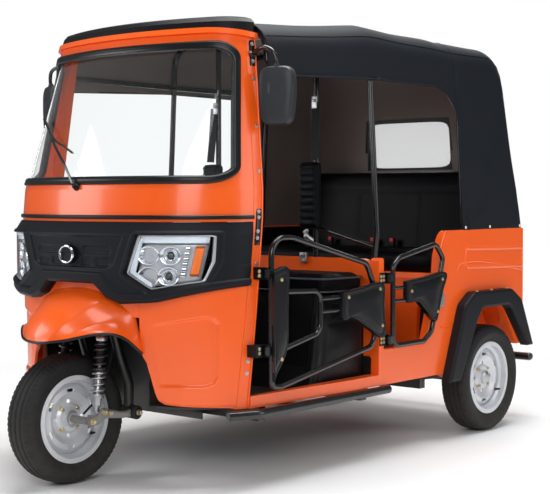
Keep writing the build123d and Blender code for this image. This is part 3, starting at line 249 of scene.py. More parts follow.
links.new(given.outputs["Rough Drift"], rougher.inputs[1])
links.new(given.outputs["Rough"], rougher.inputs[2])
dulled = nodes.new("ShaderNodeMath")
dulled.operation = "ADD"
dulled.use_clamp = True
links.new(rougher.outputs[0], dulled.inputs[0])
links.new(amount.outputs[0], dulled.inputs[1])
links.new(dulled.outputs[0], put.inputs["Roughness"])

# Grain: a fine uneven skin, as on moulded plastic, sprayed paint or cast metal
grain, nodes, links, given, put = node_group(
    "grain", [("Vector", "vector", None), ("Size", "value", 400.0), ("Depth", "value", 0.2),
              ("Height", "value", 0.0003)], [("Normal", "vector")])
skin = nodes.new("ShaderNodeTexNoise")
skin.inputs["Detail"].default_value = 3
links.new(given.outputs["Vector"], skin.inputs["Vector"])
links.new(given.outputs["Size"], skin.inputs["Scale"])
raise_it = nodes.new("ShaderNodeBump")
links.new(given.outputs["Depth"], raise_it.inputs["Strength"])
links.new(given.outputs["Height"], raise_it.inputs["Distance"])
links.new(skin.outputs["Fac"], raise_it.inputs["Height"])
links.new(raise_it.outputs["Normal"], put.inputs["Normal"])


def linear(r, g, b):
    """A colour written as it looks, 0 to 255, made linear."""
    level = np.array([r, g, b]) / 255
    level = np.where(level < 0.04045, level / 12.92, ((level + 0.055) / 1.055) ** 2.4)
    return (*level.tolist(), 1)


def finish(name, colour, drift=None, rough=0.4, size=400, depth=0.2, height=0.0003, cloud=3, dust=0.15,
           dust_height=0.6, rough_drift=0.08, **sockets):
    """A material from the shade and grain groups; sockets are the shader's own, such as Coat_Weight."""
    material, shader, nodes, links = plain_material(name)
    where = nodes.new("ShaderNodeTexCoord")
    tone, relief = nodes.new("ShaderNodeGroup"), nodes.new("ShaderNodeGroup")
    tone.node_tree, relief.node_tree = shade, grain
    links.new(where.outputs["Object"], tone.inputs["Vector"])
    links.new(where.outputs["Object"], relief.inputs["Vector"])
    tone.inputs["Colour"].default_value = colour
    tone.inputs["Drift"].default_value = drift or tuple(0.75 * c for c in colour[:3]) + (1,)
    values = {"Cloud Scale": cloud, "Dust": dust, "Dust Height": dust_height, "Rough": rough,
              "Rough Drift": rough_drift}
    for label, value in values.items():
        tone.inputs[label].default_value = value
    for label, value in {"Size": size, "Depth": depth, "Height": height}.items():
        relief.inputs[label].default_value = value
    links.new(tone.outputs["Colour"], shader.inputs["Base Color"])
    links.new(tone.outputs["Roughness"], shader.inputs["Roughness"])
    links.new(relief.outputs["Normal"], shader.inputs["Normal"])
    for label, value in sockets.items():
        shader.inputs[label.replace("_", " ")].default_value = value
    return material


def paint_nodes(material, *names):
    """CAD pieces whose shape stands, given their finish."""
    for name in names:
        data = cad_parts[name].data
        if not data.materials:
            data.materials.append(material)
        for k in range(len(data.materials)):
            data.materials[k] = material


frame_paint = finish("frame_paint", linear(9, 10, 12), linear(16, 17, 19), rough=0.32, size=260, depth=0.12,
                     dust=0.2, dust_height=0.5, Coat_Weight=0.1)
tube_paint = finish("tube_paint", linear(8, 9, 11), linear(14, 15, 18), rough=0.2, size=200, depth=0.08,
                    dust=0.08, Coat_Weight=0.4, Coat_Roughness=0.12)
paint_nodes(frame_paint, "chassis_frame", "head_frame", "front_wheel_arch")
paint_nodes(tube_paint, "side_steps", "rear_bumper", "canopy_frame", "steering_column")


def fit(made, slot, body="body", *instead_of):
    """Put a finished piece on its body and hide the CAD pieces it stands for; the slot is not used."""
    if instead_of:
        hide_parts(*instead_of)
    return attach(made, body)


def turned(profile, centre, axis="x", steps=32, turn=1.0):
    """A profile of (along, radius) points turned about an axis through the centre: each point goes round a
    circle."""
    profile = np.asarray(profile, float)
    angle = np.arange(steps) / steps * 2 * pi * turn
    across = np.cos(angle)[:, None] * profile[:, 1]
    other = np.sin(angle)[:, None] * profile[:, 1]
    along = np.broadcast_to(profile[:, 0], across.shape)
    order = {"x": [along, across, other], "y": [other, along, across], "z": [across, other, along]}[axis]
    return sheet_of(np.stack(order, -1) + np.asarray(centre, float), round_rows=True)


def placed(shape, centre, direction, spin=0.0):
    """A shape made about +Z at the origin, turned so that +Z points in the direction, and moved to the
    centre."""
    turn = Vector(direction).to_track_quat("Z", "Y").to_matrix() @ Matrix.Rotation(spin, 3, "Z")
    return shape[0] @ np.array(turn).T + np.asarray(centre, float), shape[1]


def copies(shape, centres, direction):
    """The same small shape at each centre, all pointing in one direction."""
    base, faces = placed(shape, (0, 0, 0), direction)
    centres = np.asarray(centres, float).reshape(-1, 3)
    points = (base[None] + centres[:, None]).reshape(-1, 3)
    every = faces[None] + (np.arange(len(centres)) * len(base))[:, None, None]
    return points, every.reshape(-1, 4)


def bolt(across, high, flange=1.25):
    """A hexagon head on a round flange, pointing along +Z."""
    hexagon = turned([(high * 0.3, 0), (high * 0.3, across), (high, across), (high * 1.12, across * 0.8),
                      (high * 1.12, 0)], (0, 0, 0), "z", 6)
    washer = turned([(-1, 0), (-1, across * flange), (high * 0.3, across * flange), (high * 0.3, 0)],
                    (0, 0, 0), "z", 12)
    return np.concatenate([hexagon[0], washer[0]]), np.concatenate([hexagon[1], washer[1] + len(hexagon[0])])


def joined(*shapes):
    """Several shapes as one."""
    starts = np.cumsum([0] + [len(s[0]) for s in shapes])
    return np.concatenate([s[0] for s in shapes]), np.concatenate([s[1] + k for s, k in zip(shapes, starts)])


def flipped(shape):
    """The shape's mirror image across the middle plane."""
    return shape[0] * [-1, 1, 1], shape[1][:, ::-1]


def both(shapes):
    """Shapes on the left and their mirror images on the right."""
    return shapes + [flipped(shape) for shape in shapes]


def route(points, bend=0.0, parts=7):
    """Points of a path whose corners are rounded: each corner becomes a quadratic curve between its two
    runs."""
    points = np.asarray(points, float)
    if bend == 0 or len(points) < 3:
        return points
    before, corner, after = points[:-2], points[1:-1], points[2:]
    back, on = before - corner, after - corner
    back_length = np.linalg.norm(back, axis=1, keepdims=True)
    on_length = np.linalg.norm(on, axis=1, keepdims=True)
    start = corner + back / back_length * np.minimum(bend, back_length * 0.48)
    end = corner + on / on_length * np.minimum(bend, on_length * 0.48)
    t = np.linspace(0, 1, parts)[None, :, None]
    curve = (1 - t) ** 2 * start[:, None] + 2 * t * (1 - t) * corner[:, None] + t**2 * end[:, None]
    return np.concatenate([points[:1], curve.reshape(-1, points.shape[1]), points[-1:]])


def carried(path, section, up=(0, 0, 1), closed=False):
    """A flat section of (sideways, upwards) points carried along a path; sideways is square to the path and
    to up."""
    path = np.asarray(path, float)
    way = np.roll(path, -1, 0) - np.roll(path, 1, 0) if closed else np.gradient(path, axis=0)
    way = way / np.linalg.norm(way, axis=1, keepdims=True)
    side = np.cross(way, np.asarray(up, float))
    side = side / np.linalg.norm(side, axis=1, keepdims=True)
    over = np.cross(side, way)
    section = np.asarray(section, float)
    return path[:, None] + side[:, None] * section[..., 0, None] + over[:, None] * section[..., 1, None]


def rod(path, radius, sides=12, up=(0, 0, 1), closed=False):
    """A round bar along a path: a circle carried along it, with its ends closed to a point."""
    angle = np.arange(sides) / sides * 2 * pi
    circle = np.stack([np.cos(angle), np.sin(angle)], -1)
    radius = np.broadcast_to(np.asarray(radius, float), len(path))[:, None, None]
    points = carried(path, circle[None] * radius, up, closed)
    if not closed:
        ends = np.broadcast_to(np.asarray(path)[[0, -1], None], (2, sides, 3))
        points = np.concatenate([ends[:1], points, ends[1:]])
    return sheet_of(points, round_rows=closed, round_columns=True)

# ---- wheels ----------------------------------------------------------------------------------
# Pressed steel wheels in silver paint, with zinc-plated nuts and a rubber valve. The tyres are
# grooved road tyres: a profile turned about the axle, with grooves and shoulder cuts pressed into its
# radius.
FRONT, REAR, AXLE_Z, WHEEL_X = -1111.5, 888.5, 247, 612
rim_paint = finish("rim_paint", linear(222, 224, 228), linear(208, 211, 216), rough=0.3, size=300,
                   depth=0.1,
                   dust=0.1, dust_height=0.5, Metallic=0.25, Coat_Weight=0.4, Coat_Roughness=0.15)
zinc = finish("zinc", linear(226, 206, 150), linear(190, 180, 160), rough=0.3, size=300, cloud=60,
              Metallic=0.9)
steel = finish("steel", linear(205, 206, 208), linear(170, 172, 176), rough=0.28, size=300, cloud=40,
               Metallic=0.95)
rubber = finish("rubber", linear(15, 16, 18), linear(23, 24, 26), rough=0.58, size=500, depth=0.25,
                dust=0.14,
                dust_height=0.5, Specular_IOR_Level=0.3)
paint_nodes(rim_paint, "rim_front", "rim_rear_left", "rim_rear_right")


def tyre(centre):
    """A profile of (along, radius) round the axle. Grooves run round the tread as narrow dips of radius;
    shoulder cuts and tread blocks are dips that repeat with the angle, and fade out down the sidewall."""
    outer = np.array([(-48, 154), (-49, 168), (-53, 178), (-62, 192), (-66.5, 205), (-67, 214), (-65, 226),
                      (-60, 235), (-52, 241), (-42, 244.4), (-20, 246.4), (0, 246.8)])
    outer = np.concatenate([outer, (outer * [-1, 1])[-2::-1]])
    reach = np.concatenate([[0], np.cumsum(np.linalg.norm(np.diff(outer, axis=0), axis=1))])
    fine = np.linspace(0, reach[-1], 118)
    along, radius = np.interp(fine, reach, outer[:, 0]), np.interp(fine, reach, outer[:, 1])
    angle = np.arange(360) / 360 * 2 * pi
    along, turn = np.broadcast_arrays(along[None], angle[:, None])
    radius = np.broadcast_to(radius[None], along.shape)
    wave = 5 * np.sin(turn * 45)
    groove = np.zeros_like(along)
    for middle in (-27, 0, 27):
        groove = np.maximum(groove, 5.5 * np.clip(1.6 - np.abs(along - middle + 0.25 * wave) / 2.6, 0, 1))
    cut = np.clip(1.6 - np.abs((turn * 72 / (2 * pi)) % 1 - 0.5) * 9, 0, 1)
    shoulder = np.clip((np.abs(along) - 38) / 8, 0, 1) * np.clip((radius - 226) / 8, 0, 1)
    ring = np.clip(1 - np.abs(radius - 213) / 1.6, 0, 1) + np.clip(1 - np.abs(radius - 186) / 1.6, 0, 1)
    radius = radius - groove * (radius > 240) - 3.2 * cut * shoulder
    along = along + np.sign(along) * 1.1 * ring * (np.abs(along) > 50)
    inner = np.array([(46, 154), (40, 172), (52, 200), (46, 228), (-46, 228), (-52, 200), (-40, 172),
                      (-46, 154)])
    along = np.concatenate([along, np.broadcast_to(inner[:, 0], (360, 8))], 1)
    radius = np.concatenate([radius, np.broadcast_to(inner[:, 1], (360, 8))], 1)
    turn = turn[:, :1]
    points = np.stack([along, radius * np.sin(turn), radius * np.cos(turn)], -1) + np.asarray(centre, float)
    return sheet_of(points, round_rows=True, round_columns=True)


for place, x, y, side, body in (("front", 0, FRONT, 1, "front_wheel"),
                                ("rear_left", WHEEL_X, REAR, 1, "rear_wheel_left"),
                                ("rear_right", -WHEEL_X, REAR, -1, "rear_wheel_right")):
    fit(piece(f"tyre_{place}_tread", [tyre((x, y, AXLE_Z))], rubber, fold=50), "tyre", body,
        f"tyre_{place}")
    quarter = np.arange(4) * pi / 2 + pi / 4
    nut = joined(bolt(8, 13, 1.35), turned([(13, 0), (13, 4.6), (20, 4.6), (20, 0)], (0, 0, 0), "z", 10))
    ring = np.stack([np.full(4, x + side * 7), y + 52 * np.sin(quarter), AXLE_Z + 52 * np.cos(quarter)], -1)
    shapes, kinds = [copies(nut, ring + [side * 1.5, 0, 0], (side, 0, 0))], [zinc]
    if place == "front":
        shapes.append(turned([(30, 20), (35, 20), (36, 28), (34, 31), (30, 31)], (x, y, AXLE_Z), "x", 32))
    else:
        cap = np.array([(33, 0), (40, 0), (42, 14), (40, 20), (35, 27), (33, 31), (28, 31)]) * [side, 1]
        shapes.append(turned(cap, (x, y, AXLE_Z), "x", 32))
    kinds.append(steel)
    stem = [(x + side * 14, y + 106, AXLE_Z - 70), (x + side * 34, y + 102, AXLE_Z - 68),
            (x + side * 52, y + 96, AXLE_Z - 64)]
    shapes.append(rod(stem, [6, 5, 3.5], 10, up=(0, 0, 1)))
    kinds.append(rubber)
    fit(piece(f"wheel_nuts_{place}", shapes, kinds), "silver_wheel", body)

# ---- cab front surface -----------------------------------------------------------------------
# Fibre-reinforced shell: at each height its plan is a wide crown arc, two corner arcs and straight sides.
# Smooth two-coat orange paint; the black band and guards are grained plastic.
orange = finish("orange_paint", linear(255, 102, 26), linear(251, 94, 20), rough=0.28, size=90, depth=0.05,
                height=0.0006, cloud=1.6, dust=0.06, dust_height=0.55, rough_drift=0.05, Coat_Weight=0.35,
                Coat_Roughness=0.1)
slate = finish("slate_plastic", linear(15, 17, 22), linear(22, 24, 30), rough=0.44, size=900, depth=0.22,
               height=0.0002, cloud=3, dust=0.04, Specular_IOR_Level=0.2)
black_plastic = finish("black_plastic", linear(10, 11, 14), linear(17, 18, 21), rough=0.36, size=700,
                       depth=0.2,
                       height=0.0002, dust=0.04, Specular_IOR_Level=0.22)
seal_rubber = finish("seal_rubber", linear(10, 11, 14), linear(18, 19, 22), rough=0.3, size=300, depth=0.1,
                     dust=0.05,
                     Specular_IOR_Level=0.4)
paint_nodes(orange, "a_pillars", "front_cowl", "side_sills", "door_posts", "partition", "floor_pan",
            "roof_lip")
paint_nodes(seal_rubber, "windshield_seal", "belt_strip")
paint_nodes(black_plastic, "roof_visor", "dashboard", "foot_console", "handlebar")

# Height, apex behind the front axle, half width and corner radius of each plan
SHELL = np.array([(300, 75, 620, 367), (1008, 55, 600, 367), (1120, 66, 595, 360), (1745, 297, 520, 147)],
                 float)
BAND = np.array([(660, 20, 607, 367), (953, 14, 604, 367), (998, 47, 600, 367)], float)
LAMP_FACE = np.array([(660, 38, 607, 320), (1008, 32, 600, 320)], float)
CROWN = 1200


def cab(rows, t, z, out=0.0):
    """Point of the cab front. t is 0 in the middle, 1 where the corner arc begins, 2 where the side begins
    and 3 at its rear end, negative on the right. Heights between two plans are straight lines; out is the
    distance that every arc is moved outwards."""
    t, z, out = np.broadcast_arrays(np.asarray(t, float), np.asarray(z, float), np.asarray(out, float))
    height, apex, half, corner = (rows[:, k].reshape(-1, *[1] * t.ndim) for k in range(4))
    apex, half, corner, crown = FRONT + apex - out, half - out * 0 + out, corner + out, CROWN + out
    corner_x = half - corner
    corner_y = apex + crown - np.sqrt((crown - corner) ** 2 - corner_x**2)
    s = np.abs(t)[None]
    meet = np.arcsin(corner_x / (crown - corner))
    first = meet * np.clip(s, 0, 1)
    second = meet + (pi / 2 - meet) * np.clip(s - 1, 0, 1)
    x = np.where(s <= 1, crown * np.sin(first), corner_x + corner * np.sin(second))
    y = np.where(s <= 1, apex + crown - crown * np.cos(first), corner_y - corner * np.cos(second))
    y = y + np.clip(s - 2, 0, 1) * (FRONT + 700 - corner_y)
    x = np.sign(t) * x
    share = np.clip((z[None] - height[:-1]) / np.diff(height, axis=0), 0, 1)
    weight = np.concatenate([np.ones_like(share[:1]),
                             share]) - np.concatenate([share, np.zeros_like(share[:1])])
    return np.stack([(x * weight).sum(0), (y * weight).sum(0), z], -1)


def cab_at(rows, z, axis, value):
    """The t on the left side at which x (axis 0) or y (axis 1) reaches a value, found by halving."""
    z, value = np.broadcast_arrays(np.asarray(z, float), np.asarray(value, float))
    low, high = np.zeros(z.shape), np.full(z.shape, 3.0)
    for _ in range(40):
        middle = (low + high) / 2
        short = cab(rows, middle, z)[..., axis] < value
        low, high = np.where(short, middle, low), np.where(short, high, middle)
    return (low + high) / 2


def on_cab(rows, x, z, out=0.0):
    """Point of the cab front at an x and a height."""
    x, z = np.broadcast_arrays(np.asarray(x, float), np.asarray(z, float))
    return cab(rows, np.sign(x) * cab_at(rows, z, 0, np.abs(x)), z, out)


def door_edge(z, gap=0.0):
    """Y of the cab's rear edge at a height, moved forward by the gap."""
    return np.interp(z, [300, 1008, 1733], [FRONT + 366, FRONT + 452, FRONT + 499]) - gap


def rise(value, low, high):
    """0 below low, 1 above high, and a smooth cubic between."""
    t = np.clip((value - low) / (high - low), 0, 1)
    return t * t * (3 - 2 * t)


def from_outline(corners, u, v):
    """Distance from (u, v) to a polygon's edge, negative inside."""
    corners = np.asarray(corners, float)
    far, inside = np.full(np.shape(u), 1e9), np.zeros(np.shape(u), bool)
    for (u0, v0), (u1, v1) in zip(corners, np.roll(corners, -1, 0)):
        du, dv = u1 - u0, v1 - v0
        share = np.clip(((u - u0) * du + (v - v0) * dv) / (du * du + dv * dv), 0, 1)
        far = np.minimum(far, np.hypot(u - u0 - share * du, v - v0 - share * dv))
        if v0 != v1:
            crosses = (v0 > v) != (v1 > v)
            inside ^= crosses & (u < u0 + (v - v0) * (u1 - u0) / (v1 - v0))
    return np.where(inside, -far, far)


# ---- black nose band and grille --------------------------------------------------------------
# One grained moulding: a chamfer along the top, a sunken middle with blind slots, and a lip along the
# bottom. Every feature is a distance in or out of the band's surface.
GRILLE_X = [0, 128, 187, 254, 376, 525, 700]
GRILLE_Z = [766, 766, 716, 693, 701, 739, 785]
LAMP = [(319, 950), (267, 808), (370, 748), (537, 779), (558, 852), (561, 951)]


def band_relief(x, z):
    """Distance out of the band's surface: lip + bezel - sunk middle - slots - lamp pocket."""
    x = np.abs(x)
    low = np.interp(x, GRILLE_X, GRILLE_Z)
    ridge = np.interp(x, [0, 165, 205, 262, 380, 530, 700], [816, 813, 770, 739, 744, 776, 812])
    lip = 9 * rise(ridge - z, 0, 11) - 10 * rise(low + 12 - z, 0, 14)
    lamp = from_outline(LAMP, x, z)
    bezel = 5 * rise(16 - lamp, 0, 6) * rise(lamp, -2, 3)
    middle = from_outline([(-900, 948), (272, 948), (228, 838), (196, 822), (-900, 822)], x, z)
    sunk = 8 * rise(-middle, 0, 9)
    slots = 0
    for left, right, bottom, top in ((62, 212, 874, 908), (48, 118, 832, 864), (126, 206, 832, 864)):
        brick = from_outline([(left + 8, bottom), (right - 8, bottom), (right, (bottom + top) / 2),
                              (right - 8, top),
                              (left + 8, top), (left, (bottom + top) / 2)], x, z)
        slots = np.maximum(slots, 6 * rise(-brick, 0, 5))
    pocket = 62 * rise(-lamp, 1, 4)
    crease = 2.5 * rise(x, 560, 575) * rise(np.interp(x, [560, 610], [822, 842]) - z, -3, 3)
    return lip * (lamp > 0) + bezel - sunk - slots * rise(np.hypot(x, z - 874), 50, 54) - pocket + crease


across = np.linspace(-1, 1, 441)[:, None]
upwards = np.linspace(0, 1, 101)[None]
z = np.full((441, 101), 850.0)
for _ in range(3):
    t = across * cab_at(BAND, z, 1, door_edge(z, 46.5))
    x = cab(BAND, t, z)[..., 0]
    low = np.interp(np.abs(x), GRILLE_X, GRILLE_Z)
    z = low + (997.5 - low) * upwards
front = cab(BAND, t, z, band_relief(x, z))
top = cab(SHELL, t[:, -1:], z[:, -1:], -6)
bottom = cab(SHELL, t[:, :1], z[:, :1], -6)
band_shape = sheet_of(np.concatenate([bottom, front, top], 1))
band = piece("nose_band", [band_shape], slate, closed=False, fold=60)
fit(band, "black_plastic", "body", "grille_panel")
dish = turned([(14, 0), (-5, 0), (-6, 26), (-9, 29), (-10, 36), (14, 37)], (0, FRONT + 14, 874), "y", 48)
ring = turned([(-8, 27), (-13, 28.5), (-14.5, 31.5), (-13, 34.5), (-8, 36)], (0, FRONT + 14, 874), "y", 48)
dish, ring = ((shape[0] * [1.22, 1, 1], shape[1]) for shape in (dish, ring))
chrome = finish("chrome", linear(225, 228, 232), linear(212, 215, 220), rough=0.08, size=60, depth=0.02,
                dust=0.0,
                rough_drift=0.02, Metallic=1.0)
fit(piece("nose_ring", [dish, ring], [black_plastic, chrome]), "black_plastic")

# ---- headlights ------------------------------------------------------------------------------
# A chrome-lined plastic bowl each side: two stacked reflectors with projector lenses beside them, a white
# running light along the top and inner edge, an amber strip at the outer edge, and a clear cover.
lamp_plastic = finish("lamp_plastic", linear(205, 207, 210), linear(170, 173, 178), rough=0.22, size=60,
                      depth=0.04,
                      cloud=20, dust=0.0, Metallic=0.35)
running_white = finish("running_light", linear(238, 242, 250), linear(226, 232, 244), rough=0.2, size=500,
                       depth=0.1,
                       cloud=15, dust=0.0, Coat_Weight=0.5, Subsurface_Weight=0.1)
amber = finish("amber_lens", linear(240, 120, 18), linear(228, 96, 10), rough=0.16, size=700, depth=0.6,
               height=0.0008, cloud=30, dust=0.0, Coat_Weight=0.6)
dark_lens = finish("projector_lens", linear(46, 50, 56), linear(18, 20, 24), rough=0.05, size=50,
                   depth=0.02, cloud=30,
                   dust=0.0, Coat_Weight=1.0, Coat_Roughness=0.03)
clear, shader, nodes, links = plain_material("clear_cover")
where, relief = nodes.new("ShaderNodeTexCoord"), nodes.new("ShaderNodeGroup")
relief.node_tree = grain
relief.inputs["Size"].default_value = 25
relief.inputs["Depth"].default_value = 0.03
links.new(where.outputs["Object"], relief.inputs["Vector"])
links.new(relief.outputs["Normal"], shader.inputs["Normal"])
shader.inputs["Base Color"].default_value = (0.96, 0.97, 0.98, 1)
shader.inputs["Roughness"].default_value = 0.03
shader.inputs["IOR"].default_value = 1.12
shader.inputs["Transmission Weight"].default_value = 1
paint_nodes(lamp_plastic, "headlight_housings")
paint_nodes(clear, "headlight_lenses")


def lamp_strip(corners, out, thick=4):
    """A four-cornered strip laid on the lamp's face: its (x, z) is bilinear between the corners, then moved
    out."""
    u, v = np.meshgrid(np.linspace(0, 1, 13), np.linspace(0, 1, 13), indexing="ij")
    a, b, c, d = (np.asarray(corner, float) for corner in corners)
    spot = (1 - u)[..., None] * ((1 - v)[..., None] * a + v[..., None] * d)
    spot = spot + u[..., None] * ((1 - v)[..., None] * b + v[..., None] * c)
    edge = np.minimum.reduce([u, 1 - u, v, 1 - v])
    front = on_cab(LAMP_FACE, spot[..., 0], spot[..., 1], out - thick * (1 - rise(edge, 0, 0.1)))
    return sheet_of(front)


def reflector(x, z, radius, depth, out):
    """A dish on the lamp's face: a parabola turned about a line that leans outwards, with pleated sides."""
    centre = on_cab(LAMP_FACE, np.array([x]), np.array([z]), out)[0]
    turns, rings = np.meshgrid(np.linspace(0, 2 * pi, 48, endpoint=False), np.linspace(0, 1, 9),
                               indexing="ij")
    pleat = 1 + 0.05 * np.abs(np.sin(turns * 6)) * rings
    across, high = radius * rings * pleat * np.cos(turns), radius * 0.86 * rings * np.sin(turns)
    points = np.stack([across, high, depth * (rings**2 - 1)], -1)
    return placed((points.reshape(-1, 3), grid_faces(48, 9, True)), centre, (0.45, -0.89, 0), 0)


def projector(x, z, radius, out):
    """A short tube with a domed glass in it, on the same leaning line."""
    centre = on_cab(LAMP_FACE, np.array([x]), np.array([z]), out)[0]
    tube = turned([(-30, radius), (2, radius), (4, radius - 2), (2, radius - 4), (-30, radius - 4)],
                  (0, 0, 0), "z", 32)
    glass = turned([(-6, radius - 4), (-1, radius * 0.6), (2, radius * 0.3), (3, 0)], (0, 0, 0), "z", 32)
    return placed(tube, centre, (0.45, -0.89, 0)), placed(glass, centre, (0.45, -0.89, 0))


shapes, kinds = [], []
for x, z, radius in ((352, 874, 41), (350, 795, 43)):
    shapes.append(reflector(x, z, radius, 30, -14))
    kinds.append(chrome)
for x, z in ((436, 874), (428, 798)):
    shapes.append(reflector(x, z, 41, 22, -15))
    kinds.append(chrome)
    for shape, kind in zip(projector(x, z, 20, -20), (chrome, dark_lens)):
        shapes.append(shape)
        kinds.append(kind)
for corners in (((313, 945), (550, 945), (547, 921), (330, 921)),
                ((313, 945), (338, 945), (302, 812), (274, 812)),
                ((274, 812), (302, 812), (372, 768), (368, 756))):
    shapes.append(lamp_strip(corners, -7))
    kinds.append(running_white)
shapes.append(lamp_strip(((516, 908), (538, 908), (522, 800), (498, 800)), -7, 8))
kinds.append(amber)
for k in range(6):
    z = 898 - 19 * k
    x = 494 - 3.2 * k
    shapes.append(lamp_strip(((x - 8, z + 7), (x + 8, z + 7), (x + 7, z - 7), (x - 9, z - 7)), -12, 6))
    kinds.append(chrome)
shapes.append(lamp_strip(((318, 922), (552, 922), (528, 778), (296, 752)), -26, 1))
kinds.append(lamp_plastic)
lights = piece("headlight_insides", both(shapes), kinds + kinds, closed=False, fold=30)
thick = lights.modifiers.new("wall", "SOLIDIFY")
thick.thickness = 0.0015
fit(lights, "lamp_chrome")

# A grey rim between the black bezel and the clear cover
rim_path = route([*LAMP, LAMP[0], LAMP[1]], 12, 5)[3:-3]
step = np.concatenate([[0], np.cumsum(np.linalg.norm(np.diff(rim_path, axis=0), axis=1))])
fine = np.arange(0, step[-1], 6)
rim_path = np.stack([np.interp(fine, step, rim_path[:, k]) for k in (0, 1)], -1)
inwards = np.roll(rim_path, -1, 0) - np.roll(rim_path, 1, 0)
inwards = np.stack([-inwards[:, 1], inwards[:, 0]], -1) / np.linalg.norm(inwards, axis=1, keepdims=True)
if from_outline(LAMP, *(rim_path[5] + inwards[5] * 6)) > 0:
    inwards = -inwards
profile = np.array([(-2, -40), (-1, 1), (1.5, 3), (5, 1), (6, -12)])
ring_points = rim_path[:, None] + inwards[:, None] * profile[None, :, :1]
rim_shape = sheet_of(on_cab(LAMP_FACE, ring_points[..., 0], ring_points[..., 1],
                            np.broadcast_to(profile[:, 1], ring_points.shape[:2])), round_rows=True)
rims = piece("headlight_rims", [rim_shape, flipped(rim_shape)], lamp_plastic, closed=False, fold=50)
thick = rims.modifiers.new("wall", "SOLIDIFY")
thick.thickness = 0.001
fit(rims, "lamp_chrome")

# ---- leg shields -----------------------------------------------------------------------------
# Pressed orange panels under the band, with a sunken rounded panel for stiffness in each side and a rolled
# lower edge. They close the front behind the fender.
PANEL = [(345, 613), (517, 646), (538, 640), (548, 620), (548, 420), (538, 397), (515, 387), (372, 388)]


LOW_X = [296, 304, 321, 343, 353, 362, 387, 449, 540, 603, 700]
LOW_Z = [560, 490, 465, 389, 352, 331, 318, 313, 308, 300, 300]


def shield_relief(x, z):
    """Distance out of the shell: a sunken panel with soft edges, and an edge that rolls in at the
    bottom."""
    panel = from_outline(PANEL, np.abs(x), z)
    deep = rise(np.abs(x), 335, 430)
    return -8 * deep * rise(-panel, -5, 7) - 9 * rise(np.interp(np.abs(x), LOW_X, LOW_Z) + 12 - z, 0, 13)


def shield(columns, rows, start, low_x, low_z):
    """The shell between a lower edge and the band, from x at start to the pillar."""
    u, v = np.linspace(0, 1, columns)[:, None], np.linspace(0, 1, rows)[None]
    z = np.full((columns, rows), 500.0)
    for _ in range(4):
        first = cab_at(SHELL, z, 0, start) if start > 0 else 0 * z
        last = cab_at(SHELL, z, 1, door_edge(z, 46.5)) if start > 0 else cab_at(SHELL, z, 0, 296.0)
        t = first + (last - first) * u
        x = cab(SHELL, t, z)[..., 0]
        low, high = np.interp(x, low_x, low_z), np.interp(x, GRILLE_X, GRILLE_Z) + 4
        z = low + (high - low) * v
    return cab(SHELL, t, z, shield_relief(x, z))


side_panel = sheet_of(shield(170, 160, 296.0, LOW_X, LOW_Z))
middle_panel = sheet_of(shield(60, 24, 0, [0, 700], [640, 640]))
shields = piece("leg_shield_panels", [side_panel, flipped(side_panel), middle_panel, flipped(middle_panel)],
                orange,
                closed=False)
work = bmesh.new()
work.from_mesh(shields.data)
bmesh.ops.recalc_face_normals(work, faces=work.faces)
if sum((f.normal.y * f.calc_area() for f in work.faces)) > 0:
    bmesh.ops.reverse_faces(work, faces=work.faces)
work.to_mesh(shields.data)
work.free()
thick = shields.modifiers.new("wall", "SOLIDIFY")
thick.thickness = 0.006
fit(shields, "body_paint", "body", "leg_shields")

# ---- front fender ----------------------------------------------------------------------------
# One pressed orange sheet hooding the wheel, fixed to the nose. Four long curves are measured on its left
# half: crown, ridge, crease and lip. Between them the sheet is straight, and a short average rounds each
# fold.
FENDER = [
    [(0, 78, 748), (0, 62, 744), (0, 30, 731), (0, 0, 715), (0, -35, 697), (0, -70, 673), (0, -100, 647),
     (0, -125, 614),
     (0, -143, 580), (0, -151, 548)],
    [(169, 92, 724), (169, 75, 720), (150, 14, 696), (126, -33, 667), (104, -90, 628), (85, -122, 593),
     (60, -144, 553)],
    [(264, 110, 662), (260, 93, 656), (222, 50, 637), (182, 1, 615), (151, -60, 594), (122, -100, 577),
     (100, -126, 559)],
    [(309, 118, 496), (309, 110, 502), (303, 80, 530), (280, 38, 571), (245, -6, 587), (200, -50, 583),
     (150, -90, 569),
     (124, -109, 563)],
]


def smooth_line(points, count):
    """Points of a Catmull-Rom curve through the given ones, evenly spaced along it: each run is a cubic
    whose end slopes are half the chord between its neighbours."""
    points = np.asarray(points, float)
    padded = np.concatenate([2 * points[:1] - points[1:2], points, 2 * points[-1:] - points[-2:-1]])
    t = np.linspace(0, 1, 17)[None, :-1, None]
    a, b, c, d = (padded[k : len(padded) - 3 + k, None] for k in range(4))
    runs = 0.5 * (2 * b + (c - a) * t + (2 * a - 5 * b + 4 * c - d) * t**2 + (3 * b - a - 3 * c + d) * t**3)
    curve = np.concatenate([runs.reshape(-1, points.shape[1]), points[-1:]])
    reach = np.concatenate([[0], np.cumsum(np.linalg.norm(np.diff(curve, axis=0), axis=1))])
    even = np.linspace(0, reach[-1], count)
    return np.stack([np.interp(even, reach, curve[:, k]) for k in range(points.shape[1])], -1)


